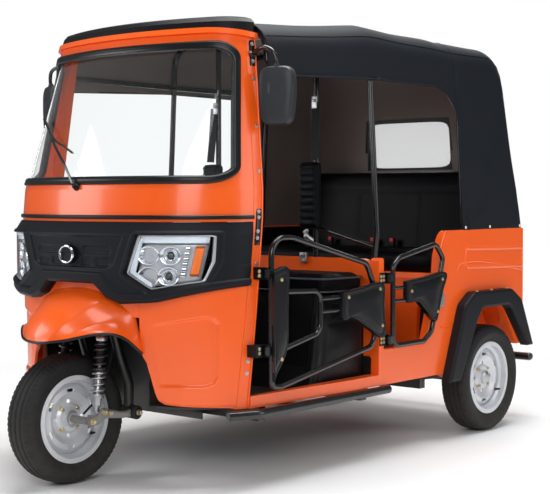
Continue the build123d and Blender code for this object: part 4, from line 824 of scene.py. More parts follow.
curves = np.stack([smooth_line(line, 90) for line in FENDER])
curves[..., 1] += FRONT
mirror_half = curves[:0:-1] * [-1, 1, 1]
lines = np.concatenate([mirror_half, curves])
spread = np.linspace(0, 6, 85)
whole = np.clip(spread.astype(int), 0, 5)
part = (spread - whole)[:, None, None]
surface = lines[whole] * (1 - part) + lines[whole + 1] * part
bow = np.sin(part * pi) * np.where(whole % 5 == 0, 5, np.where((whole == 2) | (whole == 3), 7,
                                                               0))[:, None, None]
bow = bow * (1 - np.linspace(0, 1, 90) ** 3)[None, :, None]
surface = surface + bow * [0, -0.4, 0.9]
for _ in range(2):
    inner = (surface[:-2] + 2 * surface[1:-1] + surface[2:]) / 4
    surface = np.concatenate([surface[:1], inner, surface[-1:]])
fender = piece("front_fender_sheet", [sheet_of(surface)], orange, closed=False, fold=60)


def thicken(made, wall, toward):
    """Turn an open sheet's faces to the side that a direction points to, and give it a wall inside them."""
    work = bmesh.new()
    work.from_mesh(made.data)
    bmesh.ops.recalc_face_normals(work, faces=work.faces)
    if sum(f.normal.dot(Vector(toward)) * f.calc_area() for f in work.faces) < 0:
        bmesh.ops.reverse_faces(work, faces=work.faces)
    work.to_mesh(made.data)
    work.free()
    thick = made.modifiers.new("wall", "SOLIDIFY")
    thick.thickness = wall


thicken(fender, 0.004, (0, -0.5, 1))
fit(fender, "body_paint", "body", "front_fender")
lip_line = np.concatenate([surface[0, ::6], surface[12:-12:12, -1], surface[-1, ::-6]])
lip_line = smooth_line(lip_line + [0, 0, -1.5], 140)
for _ in range(6):
    lip_line = np.concatenate([lip_line[:1], (lip_line[:-2] + lip_line[1:-1] + lip_line[2:]) / 3,
                               lip_line[-1:]])
fit(piece("fender_edge_rubber", [rod(lip_line, 5.5, 10)], seal_rubber), "rubber_seal")

# ---- belt line and pillar edges --------------------------------------------------------------
# A black strip with an orange gap under it divides cab and nose. The pillars' rear flanges are rolled, and
# plain bolts hold them.


def along_cab(z, out, end_gap=47.0, count=160):
    """A line round the cab front at one height, from pillar to pillar."""
    last = cab_at(SHELL, np.array([float(z)]), 1, door_edge(z, end_gap))[0]
    return cab(SHELL, np.linspace(-last, last, count), z, out)


strip = carried(along_cab(1015.5, 6), [(-6, -7.5), (0, -7.5), (2.5, -5), (3, 0), (2.5, 5), (0, 7.5),
                                       (-6, 7.5)][::-1])
belt = piece("belt_moulding", [sheet_of(strip, round_columns=True)], seal_rubber)
fit(belt, "rubber_seal", "body", "belt_strip")

heights = np.linspace(304, 1706, 80)
edge_t = cab_at(SHELL, heights, 1, door_edge(heights, 1.5))
bead = rod(cab(SHELL, edge_t, heights, 1.5), 4.0, 10, up=(0, 1, 0))
inner_t = cab_at(SHELL, heights, 1, door_edge(heights, 44))
groove = rod(cab(SHELL, inner_t, heights, -1.2), 2.2, 8, up=(0, 1, 0))
flanges = piece("pillar_flanges", [bead, flipped(bead), groove, flipped(groove)], orange)
fit(flanges, "body_paint")

small_bolt = bolt(6, 5)


def on_pillar(z, back_gap, out=0.0):
    """Point of the left pillar at a height, this far ahead of its rear edge."""
    z = np.asarray(z, float)
    return cab(SHELL, cab_at(SHELL, z, 1, door_edge(z, back_gap)), z, out)


places = on_pillar([842, 799, 476, 431, 1188, 1360, 1540], [16, 16, 18, 18, 16, 16, 16], 0)
pillar_bolts = copies(small_bolt, places, (0.93, -0.36, 0))
plates = []
for low, high, gap in ((905, 1050, 12), (1585, 1690, 10)):
    z = np.linspace(low, high, 9)
    t0, t1 = cab_at(SHELL, z, 1, door_edge(z, gap + 22)), cab_at(SHELL, z, 1, door_edge(z, gap - 12))
    share = np.linspace(0, 1, 7)[:, None]
    rim = np.minimum(3 - np.abs(share * 6 - 3), 4 - np.abs(np.linspace(-4, 4, 9)[None]))
    plates.append(sheet_of(cab(SHELL, t0 + (t1 - t0) * share, z[None], -1 + 4 * rise(rim, 0, 0.8))))
plate = piece("pillar_brackets", both(plates), tube_paint, closed=False)
fit(plate, "black_steel")
bright = on_pillar([1036, 1014, 962, 936, 1672, 1606], [22, 22, 22, 22, 18, 18], 3)
bolts = joined(pillar_bolts, copies(small_bolt, bright, (0.93, -0.36, 0)))
fit(piece("pillar_bolts", [bolts, flipped(bolts)], steel), "steel")

# ---- windshield, seal and wiper --------------------------------------------------------------
# Laminated glass in a black rubber seal, with a wiper whose spindle is on the cowl in the middle.
glass, shader, nodes, links = plain_material("windshield_glass")
where, relief = nodes.new("ShaderNodeTexCoord"), nodes.new("ShaderNodeGroup")
relief.node_tree = grain
relief.inputs["Size"].default_value = 4
relief.inputs["Depth"].default_value = 0.02
links.new(where.outputs["Object"], relief.inputs["Vector"])
links.new(relief.outputs["Normal"], shader.inputs["Normal"])
shader.inputs["Base Color"].default_value = (0.93, 0.965, 0.97, 1)
shader.inputs["Roughness"].default_value = 0.01
shader.inputs["IOR"].default_value = 1.06
shader.inputs["Transmission Weight"].default_value = 1
shader.inputs["Coat Weight"].default_value = 0.35
shader.inputs["Coat Roughness"].default_value = 0.02
half = route([(0, 1139), (577, 1139), (511, 1682), (0, 1682)], 72, 14)
run = np.concatenate([[0], np.cumsum(np.linalg.norm(np.diff(half, axis=0), axis=1))])
even = np.linspace(0, run[-1], 160)
half = np.stack([np.interp(even, run, half[:, 0]), np.interp(even, run, half[:, 1])], -1)
reach = np.linspace(0, 3, 400)


def girth(z):
    """Distance round the cab's left side from the middle, at each step of t, one row a height."""
    line = cab(SHELL, reach[None], z[:, None], 0)
    steps = np.linalg.norm(np.diff(line, axis=1), axis=2)
    return np.concatenate([np.zeros((len(z), 1)), np.cumsum(steps, 1)], 1)


def between(table, values, value):
    """Linear interpolation in each row of a table whose entries rise."""
    k = np.clip((table < value[:, None]).sum(1), 1, table.shape[1] - 1)
    rows = np.arange(len(value))
    low, high = table[rows, k - 1], table[rows, k]
    part = np.clip((value - low) / np.maximum(high - low, 1e-9), 0, 1)
    return values[k - 1] + part * (values[k] - values[k - 1])


edge_t = cab_at(SHELL, half[:, 1], 0, half[:, 0])
table = girth(half[:, 1])
place = edge_t / 3 * 399
k = np.clip(place.astype(int), 0, 398)
rows = np.arange(160)
flat_edge = np.stack([table[rows, k] + (place - k) * (table[rows, k + 1] - table[rows, k]), half[:, 1]], -1)
along = np.gradient(flat_edge, axis=0)
along = along / np.linalg.norm(along, axis=1, keepdims=True)
inward = np.stack([-along[:, 1], along[:, 0]], -1)


def screen_line(flat, out):
    """A closed line on the cab from its left half, laid out flat as distance round the cab and height."""
    t = between(girth(flat[:, 1]), reach, np.maximum(flat[:, 0], 0))
    line = cab(SHELL, t, flat[:, 1], out)
    return np.concatenate([line, (line * [-1, 1, 1])[-2:0:-1]])


profile = [(0, -8), (0, 3), (2, 8), (8, 11), (14, 9.5), (17, 9.5), (22, 10), (28, 7), (31, 2), (31, -8),
           (31, -20), (4, -20)]
ring = np.array([screen_line(flat_edge + inward * step, out) for step, out in profile])
fit(piece("windshield_rubber", [sheet_of(ring, round_rows=True, round_columns=True)], seal_rubber),
    "rubber_seal", "body", "windshield_seal")
inner_edge = flat_edge + inward * 29
middle = np.array([0.0, 1410.0])
pane = [screen_line(middle + (inner_edge - middle) * k, -10) for k in np.linspace(0, 1, 20)]
pane += [screen_line(middle + (inner_edge - middle) * k, -15) for k in np.linspace(1, 0, 20)]
fit(piece("windshield_pane", [sheet_of(np.array(pane), round_columns=True)], glass), "glass", "body",
    "windshield")


def facing(x, z, out):
    """Points in front of the cab at x and z lists, for things that lie on the glass."""
    return on_cab(SHELL, np.asarray(x, float), np.asarray(z, float), out)


arm = smooth_line(facing([-8, -20, -90, -180, -250], [1128, 1150, 1218, 1282, 1326],
                         np.array([14, 26, 30, 26, 18.0])), 40)
blade_line = smooth_line(facing([-398, -320, -236, -150, -84], [1414, 1370, 1320, 1290, 1264],
                                np.full(5, 10.0)), 40)
spindle = placed(turned([(-10, 14), (6, 14), (9, 11), (20, 9), (22, 6), (22, 0)], (0, 0, 0), "z", 20),
                 facing([-8], [1128], 0)[0], (0.0, -0.95, 0.3))
arm_shape = sheet_of(carried(arm, [(-5, -2.5), (5, -2.5), (4, 2.5), (-4, 2.5)], up=(0, -1, 0.3)),
                     round_columns=True)
rubber_edge = [(-3.5, 5), (3.5, 5), (4.5, 1), (1, -4), (0.6, -9), (-0.6, -9), (-1, -4), (-4.5, 1)]
blade = sheet_of(carried(blade_line, rubber_edge, up=(0, -1, 0.3)), round_columns=True)
wiper = piece("windshield_wiper", [arm_shape, blade, spindle], [tube_paint, seal_rubber, black_plastic],
              closed=True)
fit(wiper, "black_plastic")

# ---- mirrors ---------------------------------------------------------------------------------
# A grained shell with a shallow sunken panel on its back and silvered glass in its face, hung on a glossy
# arm that arches out of the pillar. The glass faces the driver, turned a little outwards.
mirror_paint = finish("mirror_shell", linear(34, 37, 41), linear(42, 45, 50), rough=0.42, size=1000,
                      depth=0.25,
                      height=0.0002, dust=0.0, Specular_IOR_Level=0.4)
silvered = finish("silvered_glass", linear(210, 216, 222), linear(196, 204, 212), rough=0.03, size=20,
                  depth=0.01,
                  dust=0.0, rough_drift=0.01, Metallic=1.0)
HEAD, TURN = np.array([648, FRONT + 486, 1470.0]), radians(22)


def soft_box(u, v, half_u, half_v, power):
    """Where a direction from the centre meets a rounded rectangle: a superellipse of this power."""
    return 1 / ((np.abs(u) / half_u) ** power + (np.abs(v) / half_v) ** power) ** (1 / power)


turn = np.linspace(0, 2 * pi, 72, endpoint=False)[:, None]
depth = np.array([-27, -25.5, -21, -12, 4, 18, 26, 28.5, 29, 26.5, 26, 26])
grow = np.array([0.6, 0.84, 0.94, 0.985, 1.0, 1.0, 0.985, 0.965, 0.93, 0.92, 0.5, 0])
cu, cv = np.cos(turn), np.sin(turn)
size = soft_box(cu, cv, 70 - 8 * np.clip(-cv, 0, 1), 112, 4.5)
shell_u, shell_v = cu * size * grow, cv * size * grow
back = np.linspace(0, 1, 14)[::-1]
plate_u, plate_v = cu * size * 0.6 * back, cv * size * 0.6 * back
sunken = from_outline([(-26, 8), (26, 8), (26, 46), (-26, 46)], plate_u, plate_v)
plate_d = -27.0 - 0.8 * (1 - back) + 2.6 * rise(-sunken, -2, 3)
u = np.concatenate([plate_u[:, ::-1], shell_u[:, 1:]], 1)
v = np.concatenate([plate_v[:, ::-1], shell_v[:, 1:]], 1)
d = np.concatenate([plate_d[:, ::-1], np.broadcast_to(depth[1:], shell_u[:, 1:].shape)], 1)
head = np.stack([u * cos(TURN) - d * sin(TURN), u * sin(TURN) + d * cos(TURN), v], -1) + HEAD
face_u, face_v = cu * size * 0.9 * back[None], cv * size * 0.9 * back[None]
face_d = np.full_like(face_u, 28.0)
face = np.stack([face_u * cos(TURN) - face_d * sin(TURN), face_u * sin(TURN) + face_d * cos(TURN), face_v],
                -1) + HEAD
arm_path = smooth_line([(524, FRONT + 476, 1630), (560, FRONT + 471, 1646), (600, FRONT + 468, 1654),
                        (636, FRONT + 470, 1638), (650, FRONT + 476, 1606), (650, FRONT + 480, 1572)], 60)
arm = rod(arm_path, 8, 14, up=(0, 1, 0.01))
collar = rod([(650, FRONT + 481, 1562), (650, FRONT + 480, 1580), (650, FRONT + 479, 1590)], [15, 13, 10],
             14, (0, 1, 0))
foot = placed(turned([(-4, 16), (5, 16), (8, 12), (8, 0)], (0, 0, 0), "z", 20), (534, FRONT + 474, 1634),
              (0.7, -0.3, 0.6))
shapes = [sheet_of(head, round_rows=True), sheet_of(face, round_rows=True), arm, collar, foot]
kinds = [mirror_paint, silvered, tube_paint, mirror_paint, tube_paint]
fit(piece("mirror_heads", both(shapes), kinds * 2), "mirror_shell", "body", "mirrors")

# ---- front fork, springs and links -----------------------------------------------------------
# Painted fork legs behind the wheel carry short cast links. Each link ends at the axle and is held down by
# a coil spring round a damper.
cast = finish("cast_metal", linear(168, 168, 166), linear(140, 140, 138), rough=0.4, size=350, depth=0.5,
              height=0.0006, cloud=25, dust=0.3, dust_height=0.5, Metallic=0.6)
paint_nodes(frame_paint, "front_fork")
paint_nodes(cast, "front_axle")
coil_paint = finish("coil_paint", linear(24, 25, 28), linear(40, 42, 46), rough=0.22, size=200, depth=0.06,
                    cloud=20,
                    dust=0.1, Coat_Weight=0.5)


def coil(foot, top, radius, wire, turns, steps=22):
    """Wire carried along a helix about the line from foot to top; its end turns lie closer together."""
    foot, top = np.asarray(foot, float), np.asarray(top, float)
    t = np.linspace(0, 1, int(turns * steps))
    climb = t + 0.35 * np.sin(2 * pi * t) / (2 * pi) * -1
    line = placed((np.stack([radius * np.cos(2 * pi * turns * t), radius * np.sin(2 * pi * turns * t),
                             climb * np.linalg.norm(top - foot)], -1), grid_faces(1, 1)), foot,
                  tuple(top - foot))[0]
    return rod(line, wire, 8, up=tuple(top - foot))


shapes, kinds = [], []
foot, top = np.array([102, FRONT + 60, 280.0]), np.array([102, FRONT + 96, 600.0])
way = (top - foot) / np.linalg.norm(top - foot)


def on_damper(profile, steps=24):
    """A profile of (distance up the damper, radius) turned about the damper's line."""
    return placed(turned(profile, (0, 0, 0), "z", steps), foot, tuple(way))


shapes += [on_damper([(-6, 0), (-6, 12), (16, 13), (18, 17), (52, 18), (56, 15), (150, 15), (152, 9),
                      (262, 9),
                      (264, 21), (276, 24), (286, 20), (292, 12), (318, 9), (322, 0)])]
kinds += [steel]
shapes += [coil(foot + way * 54, foot + way * 150, 23, 5, 5),
           on_damper([(48, 16), (48, 27), (54, 27), (54, 16)])]
kinds += [steel, steel]
shapes += [coil(foot + way * 152, foot + way * 262, 23, 5.2, 5),
           on_damper([(148, 10), (148, 27), (155, 27), (155, 10)]),
           on_damper([(170, 9), (172, 18), (250, 15), (252, 9)])]
kinds += [coil_paint, coil_paint, rubber]
dampers = piece("front_coil_dampers", both(shapes), kinds * 2, closed=True)
fit(dampers, "steel", "steering", "front_shocks")

PIVOT = (FRONT + 231, 254)
side_line = smooth_line([(FRONT - 4, 247), (FRONT + 40, 250), (FRONT + 70, 268), (FRONT + 110, 262),
                         (FRONT + 170, 252),
                         (FRONT + 232, 254)], 60)
reach = np.linspace(0, 1, 60)
tall = 17 + 9 * np.exp(-((reach - 0.0) / 0.09) ** 2) + 8 * np.exp(-((reach - 0.28) / 0.09) ** 2)
tall = tall + 8 * np.exp(-((reach - 1) / 0.08) ** 2) - 4 * rise(reach, 0.4, 0.8)
angle = np.linspace(0, 2 * pi, 20, endpoint=False)
ca, sa = np.cos(angle), np.sin(angle)
profile = soft_box(ca, sa, 8.4, 1, 5)
wide = np.clip(7.6 * np.sign(ca) * np.abs(ca) ** 0.45, -8.2, 8.2)
high = np.sign(sa) * np.abs(sa) ** 0.7
points = np.stack([130.5 + np.broadcast_to(wide, (60, 20)), np.broadcast_to(side_line[:, :1], (60, 20)),
                   side_line[:, 1:] + tall[:, None] * high], -1)
ends = np.broadcast_to(np.stack([np.full(60, 130.5), *side_line.T], -1)[[0, -1], None], (2, 20, 3))
link = sheet_of(np.concatenate([ends[:1], points, ends[1:]]), round_columns=True)
bush = placed(turned([(-9, 0), (-9, 27), (10, 27), (12, 24), (12, 0)], (0, 0, 0), "z", 28), (138, *PIVOT),
              (1, 0, 0))
shapes = [link, bush,
          placed(turned([(0, 0), (0, 12), (8, 12), (10, 9), (20, 9), (20, 0)], (0, 0, 0), "z", 6),
                 (150, *PIVOT), (1, 0, 0)),
          placed(turned([(0, 0), (0, 12), (12, 12), (13, 7), (22, 6.5), (22, 0)], (0, 0, 0), "z", 6),
                 (138, FRONT + 60, 276), (1, 0, 0)),
          placed(turned([(0, 0), (0, 10), (9, 10), (10, 5), (15, 5), (15, 0)], (0, 0, 0), "z", 6),
                 (138, FRONT + 96, 268), (1, 0, 0))]
kinds = [cast, rubber, zinc, zinc, zinc]
fit(piece("fork_link_castings", both(shapes), kinds * 2), "cast_grey", "steering", "fork_links")
axle_nuts = [placed(turned([(0, 0), (0, 15), (3, 15), (3, 13), (14, 13), (15, 8), (24, 8), (24, 0)],
                           (0, 0, 0), "z", 6),
                    (138, FRONT, 247), (1, 0, 0))]
fit(piece("axle_nuts", both(axle_nuts), zinc), "steel", "steering")
brake_hose = rod(smooth_line([(60, FRONT + 150, 596), (76, FRONT + 176, 540), (70, FRONT + 150, 420),
                              (66, FRONT + 110, 330), (52, FRONT + 40, 262)], 50), 4.5, 8, up=(1, 0, 0))
fit(piece("brake_line", [brake_hose], rubber), "rubber_seal", "steering")

# ---- canopy ----------------------------------------------------------------------------------
# One piece of vinyl-coated canvas pulled over five hoops. The roof turns down into the tail like a fan, and
# every rib of the fan meets at the front corner of the rear sides. It is hemmed, welted and studded to the
# rear body.
canvas = finish("canopy_canvas", linear(6, 12, 20), linear(11, 18, 27), rough=0.58, size=1500, depth=0.3,
                height=0.0003, cloud=6, dust=0.0, Specular_IOR_Level=0.28)
lining = finish("canopy_lining", linear(138, 126, 120), linear(122, 112, 107), rough=0.8, size=1200,
                depth=0.35,
                height=0.0003, cloud=5, dust=0.0, Specular_IOR_Level=0.2)
welting = finish("canopy_welting", linear(14, 18, 24), linear(20, 25, 32), rough=0.4, size=900, depth=0.2,
                 dust=0.0)
FAN_Y, FAN_Z, TAIL, ROOF_Z = 704.5, 939.0, 1239.0, 1816.0
ROOF_END = 1142.0
HOOP_Y = [-591, 60, 543.5, 738.5, 908.5]


def fan_top(angle):
    """Distance from the fan's pivot to the outline: the roof, then an arc of 190, then the leaning tail."""
    line = [(FAN_Y, ROOF_Z), (960, ROOF_Z)]
    turn = np.linspace(0, 1, 40)
    corner, fall = np.array([ROOF_END, ROOF_Z]), np.array([TAIL - ROOF_END, FAN_Z - ROOF_Z])
    run = fall / np.hypot(TAIL - ROOF_END, FAN_Z - ROOF_Z)
    near, far = corner - [150, 0], corner + run * 150
    turn = turn[:, None]
    bend = (1 - turn) ** 2 * near + 2 * turn * (1 - turn) * corner + turn ** 2 * far
    line = np.concatenate([line, bend, [(TAIL, FAN_Z)]])
    fine = np.linspace(0, pi / 2, 400)
    reach = np.linspace(0, 1, 4000)
    y = np.interp(reach, np.linspace(0, 1, len(line)), line[:, 0])
    z = np.interp(reach, np.linspace(0, 1, len(line)), line[:, 1])
    far = np.interp(fine, np.arctan2(y - FAN_Y, z - FAN_Z), np.hypot(y - FAN_Y, z - FAN_Z))
    return np.interp(angle, fine, far)


def canopy_grid(y, angle, out=0.0):
    """Rows of the cover, one a hoop plane at y or a rib at an angle. Along a row the side rises in a
    straight lean, turns in an arc at the shoulder and crosses the roof on a shallow parabola; between hoops
    it sags a little."""
    y, angle = np.broadcast_arrays(np.asarray(y, float)[:, None], np.asarray(angle, float)[:, None])
    top = np.where(angle > 0, fan_top(angle), np.interp(y, [-612, 58, 548, FAN_Y],
                                                        [1773, 1833, 1822, ROOF_Z + 2]) - FAN_Z)
    hoops = np.array(HOOP_Y)
    nearest = np.abs(y[..., None] - hoops).min(-1)
    span = np.interp(y, hoops, np.concatenate([[325], np.maximum(np.diff(hoops)[:-1] / 2, 80), [85]]))
    sag = 9 * rise(nearest / span, 0.0, 0.9) * (angle == 0)
    sag = sag + 7 * np.sin(np.clip(angle * 5.2, 0, 2 * pi)) ** 2 * (angle > 0)
    round_ = np.interp(angle, [0, 0.5, 1.2, pi / 2], [118, 108, 34, 12])
    shoulder_x = np.interp(y, [-612, 58, 548], [582, 588,
                                                590]) + np.interp(angle, [0, 0.5, 1.3, 1.57],
                                                                  [0, 0, 24, 49])
    side_top = top - 16 - round_
    low = np.interp(y, [-612, 38.5, 514.5], [1552, 1583, 1583]) - FAN_Z
    low = np.where(y > 514.5, 1393 + np.sqrt(np.clip(190 ** 2 - (y - 514.5) ** 2, 0, None)) - FAN_Z, low)
    low = np.where(angle > 0, 0.0, np.minimum(low, side_top))
    s = np.linspace(0, 1, 46)[None]
    q_side = np.maximum(s * side_top, low)
    lean = np.clip(q_side * np.cos(angle) / 760, 0, 1)
    x_side = 639 + (shoulder_x - 639) * lean
    x_side = x_side - sag * 0.7 * np.sin(pi * s) ** 2
    arc = np.linspace(0, pi / 2, 12)[None, 1:]
    start_x = x_side[:, -1:]
    x_arc = start_x - round_ * (1 - np.cos(arc))
    q_arc = side_top + round_ * np.sin(arc) - sag * np.sin(arc) * 0.6
    over = np.linspace(1, 0, 34)[None, 1:]
    x_over = x_arc[:, -1:] * over
    q_over = q_arc[:, -1:] + 16 * (1 - over ** 2) - sag * (0.4 * (1 - over ** 2))
    x = np.concatenate([x_side, x_arc, x_over], 1)
    q = np.concatenate([q_side, q_arc, q_over], 1)
    q = q + out
    x = x + out * (np.arange(x.shape[1]) < 52)
    half = np.stack([x, np.where(angle > 0, FAN_Y + np.sin(angle) * q, y), FAN_Z + np.cos(angle) * q], -1)
    return np.concatenate([half, (half * [-1, 1, 1])[:, -2::-1]], 1)


def strip(path, section, up=(0, 0, 1)):
    """A bar of any section along a path: the carried section with its ends closed to a point."""
    points = carried(path, np.asarray(section, float), up)
    ends = np.broadcast_to(np.asarray(path, float)[[0, -1], None], (2, len(section), 3))
    return sheet_of(np.concatenate([ends[:1], points, ends[1:]]), round_columns=True)


stations = np.concatenate([np.linspace(-611, 514, 76), 514.5
                           + 190 * np.sin(np.linspace(0, pi / 2, 25)[1:])])
ribs = np.concatenate([np.full(len(stations), 0.0), np.linspace(1e-4, pi / 2, 90)])
stations = np.concatenate([stations, np.full(90, FAN_Y)])
cover = canopy_grid(stations, ribs)
points, faces = sheet_of(cover)
corners = points[faces]
middle = corners.mean(1)
doubled = np.linalg.norm(np.cross(corners[:, 2] - corners[:, 0], corners[:, 3] - corners[:, 1]), axis=1)
window = from_outline([(-252, 1239), (252, 1239), (252, 1474), (-252, 1474)], middle[:, 0], middle[:, 2])
faces = faces[(doubled > 0.4) & ~((window < 10) & (middle[:, 1] > 1000))]
canopy = piece("canopy_cover", [(points, faces)], [canvas], closed=False, fold=70)
canopy.data.materials.append(lining)
wall = canopy.modifiers.new("wall", "SOLIDIFY")
wall.thickness, wall.offset, wall.material_offset, wall.use_even_offset = 0.0035, -1, 1, False
fit(canopy, "canopy_vinyl", "body", "canopy")

hem_front = cover[0]
hem_open = cover[:100, 0]
post_edge = np.stack([np.full(40, 636.0), np.full(40, FAN_Y), np.linspace(1393, 942, 40)], -1)
post_edge[:, 0] = 636 - 48 * (post_edge[:, 2] - FAN_Z) / 760
side_hem = np.concatenate([hem_open, post_edge[1:]])
shapes = [rod(side_hem[::2] + [1, 0, 0], 4.2, 8, up=(1, 0, 0.01)),
          rod(hem_front[::2] + [0, 2, 0], 4.5, 8, up=(0, 1, 0)),
          rod((cover[0, ::2] + [0, 36, 2.2]), 1.6, 6, up=(0, 1, 0))]
shapes += [flipped(shapes[0])]
shapes += [rod(cover[93, 2:-2:2] + [0, 0, 0.4], 1.5, 6, up=(0, 1, 0))]
side_seam = canopy_grid(stations[::3], ribs[::3], 0.8)[:, 49]
shapes += [rod(side_seam, 1.4, 6, up=(1, 0, 0)), flipped(rod(side_seam, 1.4, 6, up=(1, 0, 0)))]
hem_row = canopy_grid(stations[100:], ribs[100:], 0.6)
tail_row = hem_row[:, 4]
shapes += [rod(tail_row[1:], 1.8, 6, up=(1, 0, 0)), flipped(rod(tail_row[1:], 1.8, 6, up=(1, 0, 0)))]
trims = piece("canopy_welts", shapes, canvas)
fit(trims, "canopy_vinyl")

# ---- rear window, its border and the canopy studs --------------------------------------------
# A clear film is welded into the cover behind a folded border; press studs hold the hem down.
film, shader, nodes, links = plain_material("window_film")
shader.inputs["Base Color"].default_value = linear(246, 250, 253)
shader.inputs["Alpha"].default_value = 0.3
smudge = nodes.new("ShaderNodeTexNoise")
smudge.inputs["Scale"].default_value = 9
where = nodes.new("ShaderNodeTexCoord")
links.new(where.outputs["Object"], smudge.inputs["Vector"])
spread = nodes.new("ShaderNodeMapRange")
spread.inputs["To Min"].default_value, spread.inputs["To Max"].default_value = 0.08, 0.28
links.new(smudge.outputs["Fac"], spread.inputs["Value"])
links.new(spread.outputs["Result"], shader.inputs["Roughness"])


def tail_y(z, out=0.0):
    """Y of the leaning tail at a height."""
    return TAIL + (np.asarray(z, float) - FAN_Z) * (ROOF_END - TAIL) / (ROOF_Z - FAN_Z) + 17 + out


edge_turn = np.linspace(0, 2 * pi, 96, endpoint=False)


def window_ring(grow):
    """The window's rounded outline, moved out by a distance: a high superellipse about its centre."""
    r = soft_box(np.cos(edge_turn), np.sin(edge_turn), 252 + grow, 117 + grow, 8)
    return r * np.cos(edge_turn), 1356.5 + r * np.sin(edge_turn)


rings = [(window_ring(2)[0] * k, 1356.5 + (window_ring(2)[1] - 1356.5) * k) for k in np.linspace(0, 1, 16)]
pane = np.stack([np.stack([x, tail_y(z, 0) - 17 + 3 * (1 - (x / 300) ** 2), z], -1) for x, z in rings])
pane = np.concatenate([pane, pane[::-1] + [0, -1.6, 0]])
fit(piece("rear_window_film", [sheet_of(pane, round_columns=True)], film), "clear_film", "body",
    "rear_window")
border = []
for grow, out in ((-2, -8), (-1, 5), (1, 7.5), (26, 6.5), (38, 3), (39, -8)):
    x, z = window_ring(grow)
    border += [np.stack([x, tail_y(z) - 17 + out + 4 * (1 - (x / 600) ** 2), z], -1)]
fit(piece("rear_window_border", [sheet_of(np.array(border), round_rows=True, round_columns=True)], welting),
    "canopy_vinyl")
white_cap = finish("stud_caps", linear(232, 232, 230), linear(210, 212, 212), rough=0.25, size=200,
                   dust=0.0)
stud = turned([(-2, 0), (-2, 7), (1, 7), (3, 5), (4, 0)], (0, 0, 0), "z", 14)
spots = [(638, y, 951) for y in (718, 930, 1208)]
studs = copies(stud, spots, (1, 0, 0))
rear_studs = copies(stud, [(x, 1238, 951) for x in (-500, -250, 0, 250, 500)], (0, 1, 0))
fit(piece("canopy_studs", [studs, flipped(studs), rear_studs], white_cap), "plate_white")

# ---- seats -----------------------------------------------------------------------------------
# Foam in welded black vinyl. Each cushion starts as a slightly small rounded block and is blown up as
# cloth, so its faces crown and its sides pull in between the corners; channels and piping are put in after.
vinyl = finish("seat_vinyl", linear(4, 6, 10), linear(8, 10, 15), rough=0.4, size=520, depth=0.3,
               height=0.0004,
               cloud=6, dust=0.0, Specular_IOR_Level=0.1)
piping = finish("seat_piping", linear(60, 62, 66), linear(48, 50, 55), rough=0.4, size=300, dust=0.0)


def block(low, high, radius, count):
    """The surface of a box with rounded edges: each point of the box is drawn to within the radius of an
    inner box."""
    low, high = np.asarray(low, float), np.asarray(high, float)
    shapes = []
    for axis in range(3):
        a, b = [k for k in range(3) if k != axis]
        u, v = np.meshgrid(np.linspace(0, 1, count), np.linspace(0, 1, count), indexing="ij")
        for end in (low, high):
            p = np.zeros((count, count, 3))
            p[..., a] = low[a] + (high[a] - low[a]) * u
            p[..., b] = low[b] + (high[b] - low[b]) * v
            p[..., axis] = end[axis]
            core = np.clip(p, low + radius, high - radius)
            away = p - core
            p = core + away / np.maximum(np.linalg.norm(away, axis=-1, keepdims=True), 1e-6) * radius
            shapes += [sheet_of(p)]
    return joined(*shapes)


def blown(name, shape, cap, voxel, shape_after):
    """Remesh a block, let pressure swell it as cloth, hold each point within the cap, and subdivide
    once."""
    start = piece(name + "_start", [shape], vinyl)
    remesh = start.modifiers.new("remesh", "REMESH")
    remesh.mode, remesh.voxel_size = "VOXEL", voxel / 1000
    bpy.context.view_layer.update()
    graph = bpy.context.evaluated_depsgraph_get()
    mesh = bpy.data.meshes.new_from_object(start.evaluated_get(graph))
    bpy.data.objects.remove(start)
    made = bpy.data.objects.new(name, mesh)
    scene.collection.objects.link(made)
    count = len(mesh.vertices)
    before = np.empty(count * 3)
    mesh.vertices.foreach_get("co", before)
    before = before.reshape(-1, 3) * 1000
    after = before.copy()
    cloth = made.modifiers.new("cloth", "CLOTH")
    cloth.settings.quality = 4
    cloth.settings.use_pressure = True
    cloth.settings.uniform_pressure_force = 4
    cloth.settings.effector_weights.gravity = 0
    cloth.point_cache.frame_start, cloth.point_cache.frame_end = 1, 20
    for number in range(1, 21):
        scene.frame_set(number)
    graph = bpy.context.evaluated_depsgraph_get()
    swollen = bpy.data.meshes.new_from_object(made.evaluated_get(graph))
    after = np.empty(count * 3)
    swollen.vertices.foreach_get("co", after)
    after = after.reshape(-1, 3) * 1000
    made.modifiers.remove(cloth)
    bpy.data.meshes.remove(swollen)
    moved = after - before
    length = np.linalg.norm(moved, axis=1, keepdims=True)
    after = before + moved * np.minimum(1, cap / np.maximum(length, 1e-6))
    after = shape_after(after)
    mesh.vertices.foreach_set("co", (after / 1000).ravel())
    mesh.materials.clear()
    mesh.materials.append(vinyl)
    mesh.polygons.foreach_set("use_smooth", np.ones(len(mesh.polygons), bool))
    smooth = made.modifiers.new("smooth", "SUBSURF")
    smooth.levels = smooth.render_levels = 1
    return made


def seat_shape(points):
    """Driver's bench: the swollen cloth is held inside a box, and two shallow channels run across the
    top."""
    x, y, z = points.T
    groove = sum(np.exp(-((x - c) / 7) ** 2) for c in (-170, 170)) * 6 * rise(z, 735, 760)
    return np.stack([np.clip(x, -584, 584), np.clip(y, -256, 33.5), np.clip(z, 690.5, 788) - groove], -1)


def cushion_shape(points):
    """Rear cushion: three seats between two channels."""
    x, y, z = points.T
    groove = sum(np.exp(-((x - c) / 8) ** 2) for c in (-193, 193)) * 8 * rise(z, 800, 835)
    return np.stack([np.clip(x, -579, 579), np.clip(y, 551, 984), np.clip(z, 745.5, 858) - groove], -1)


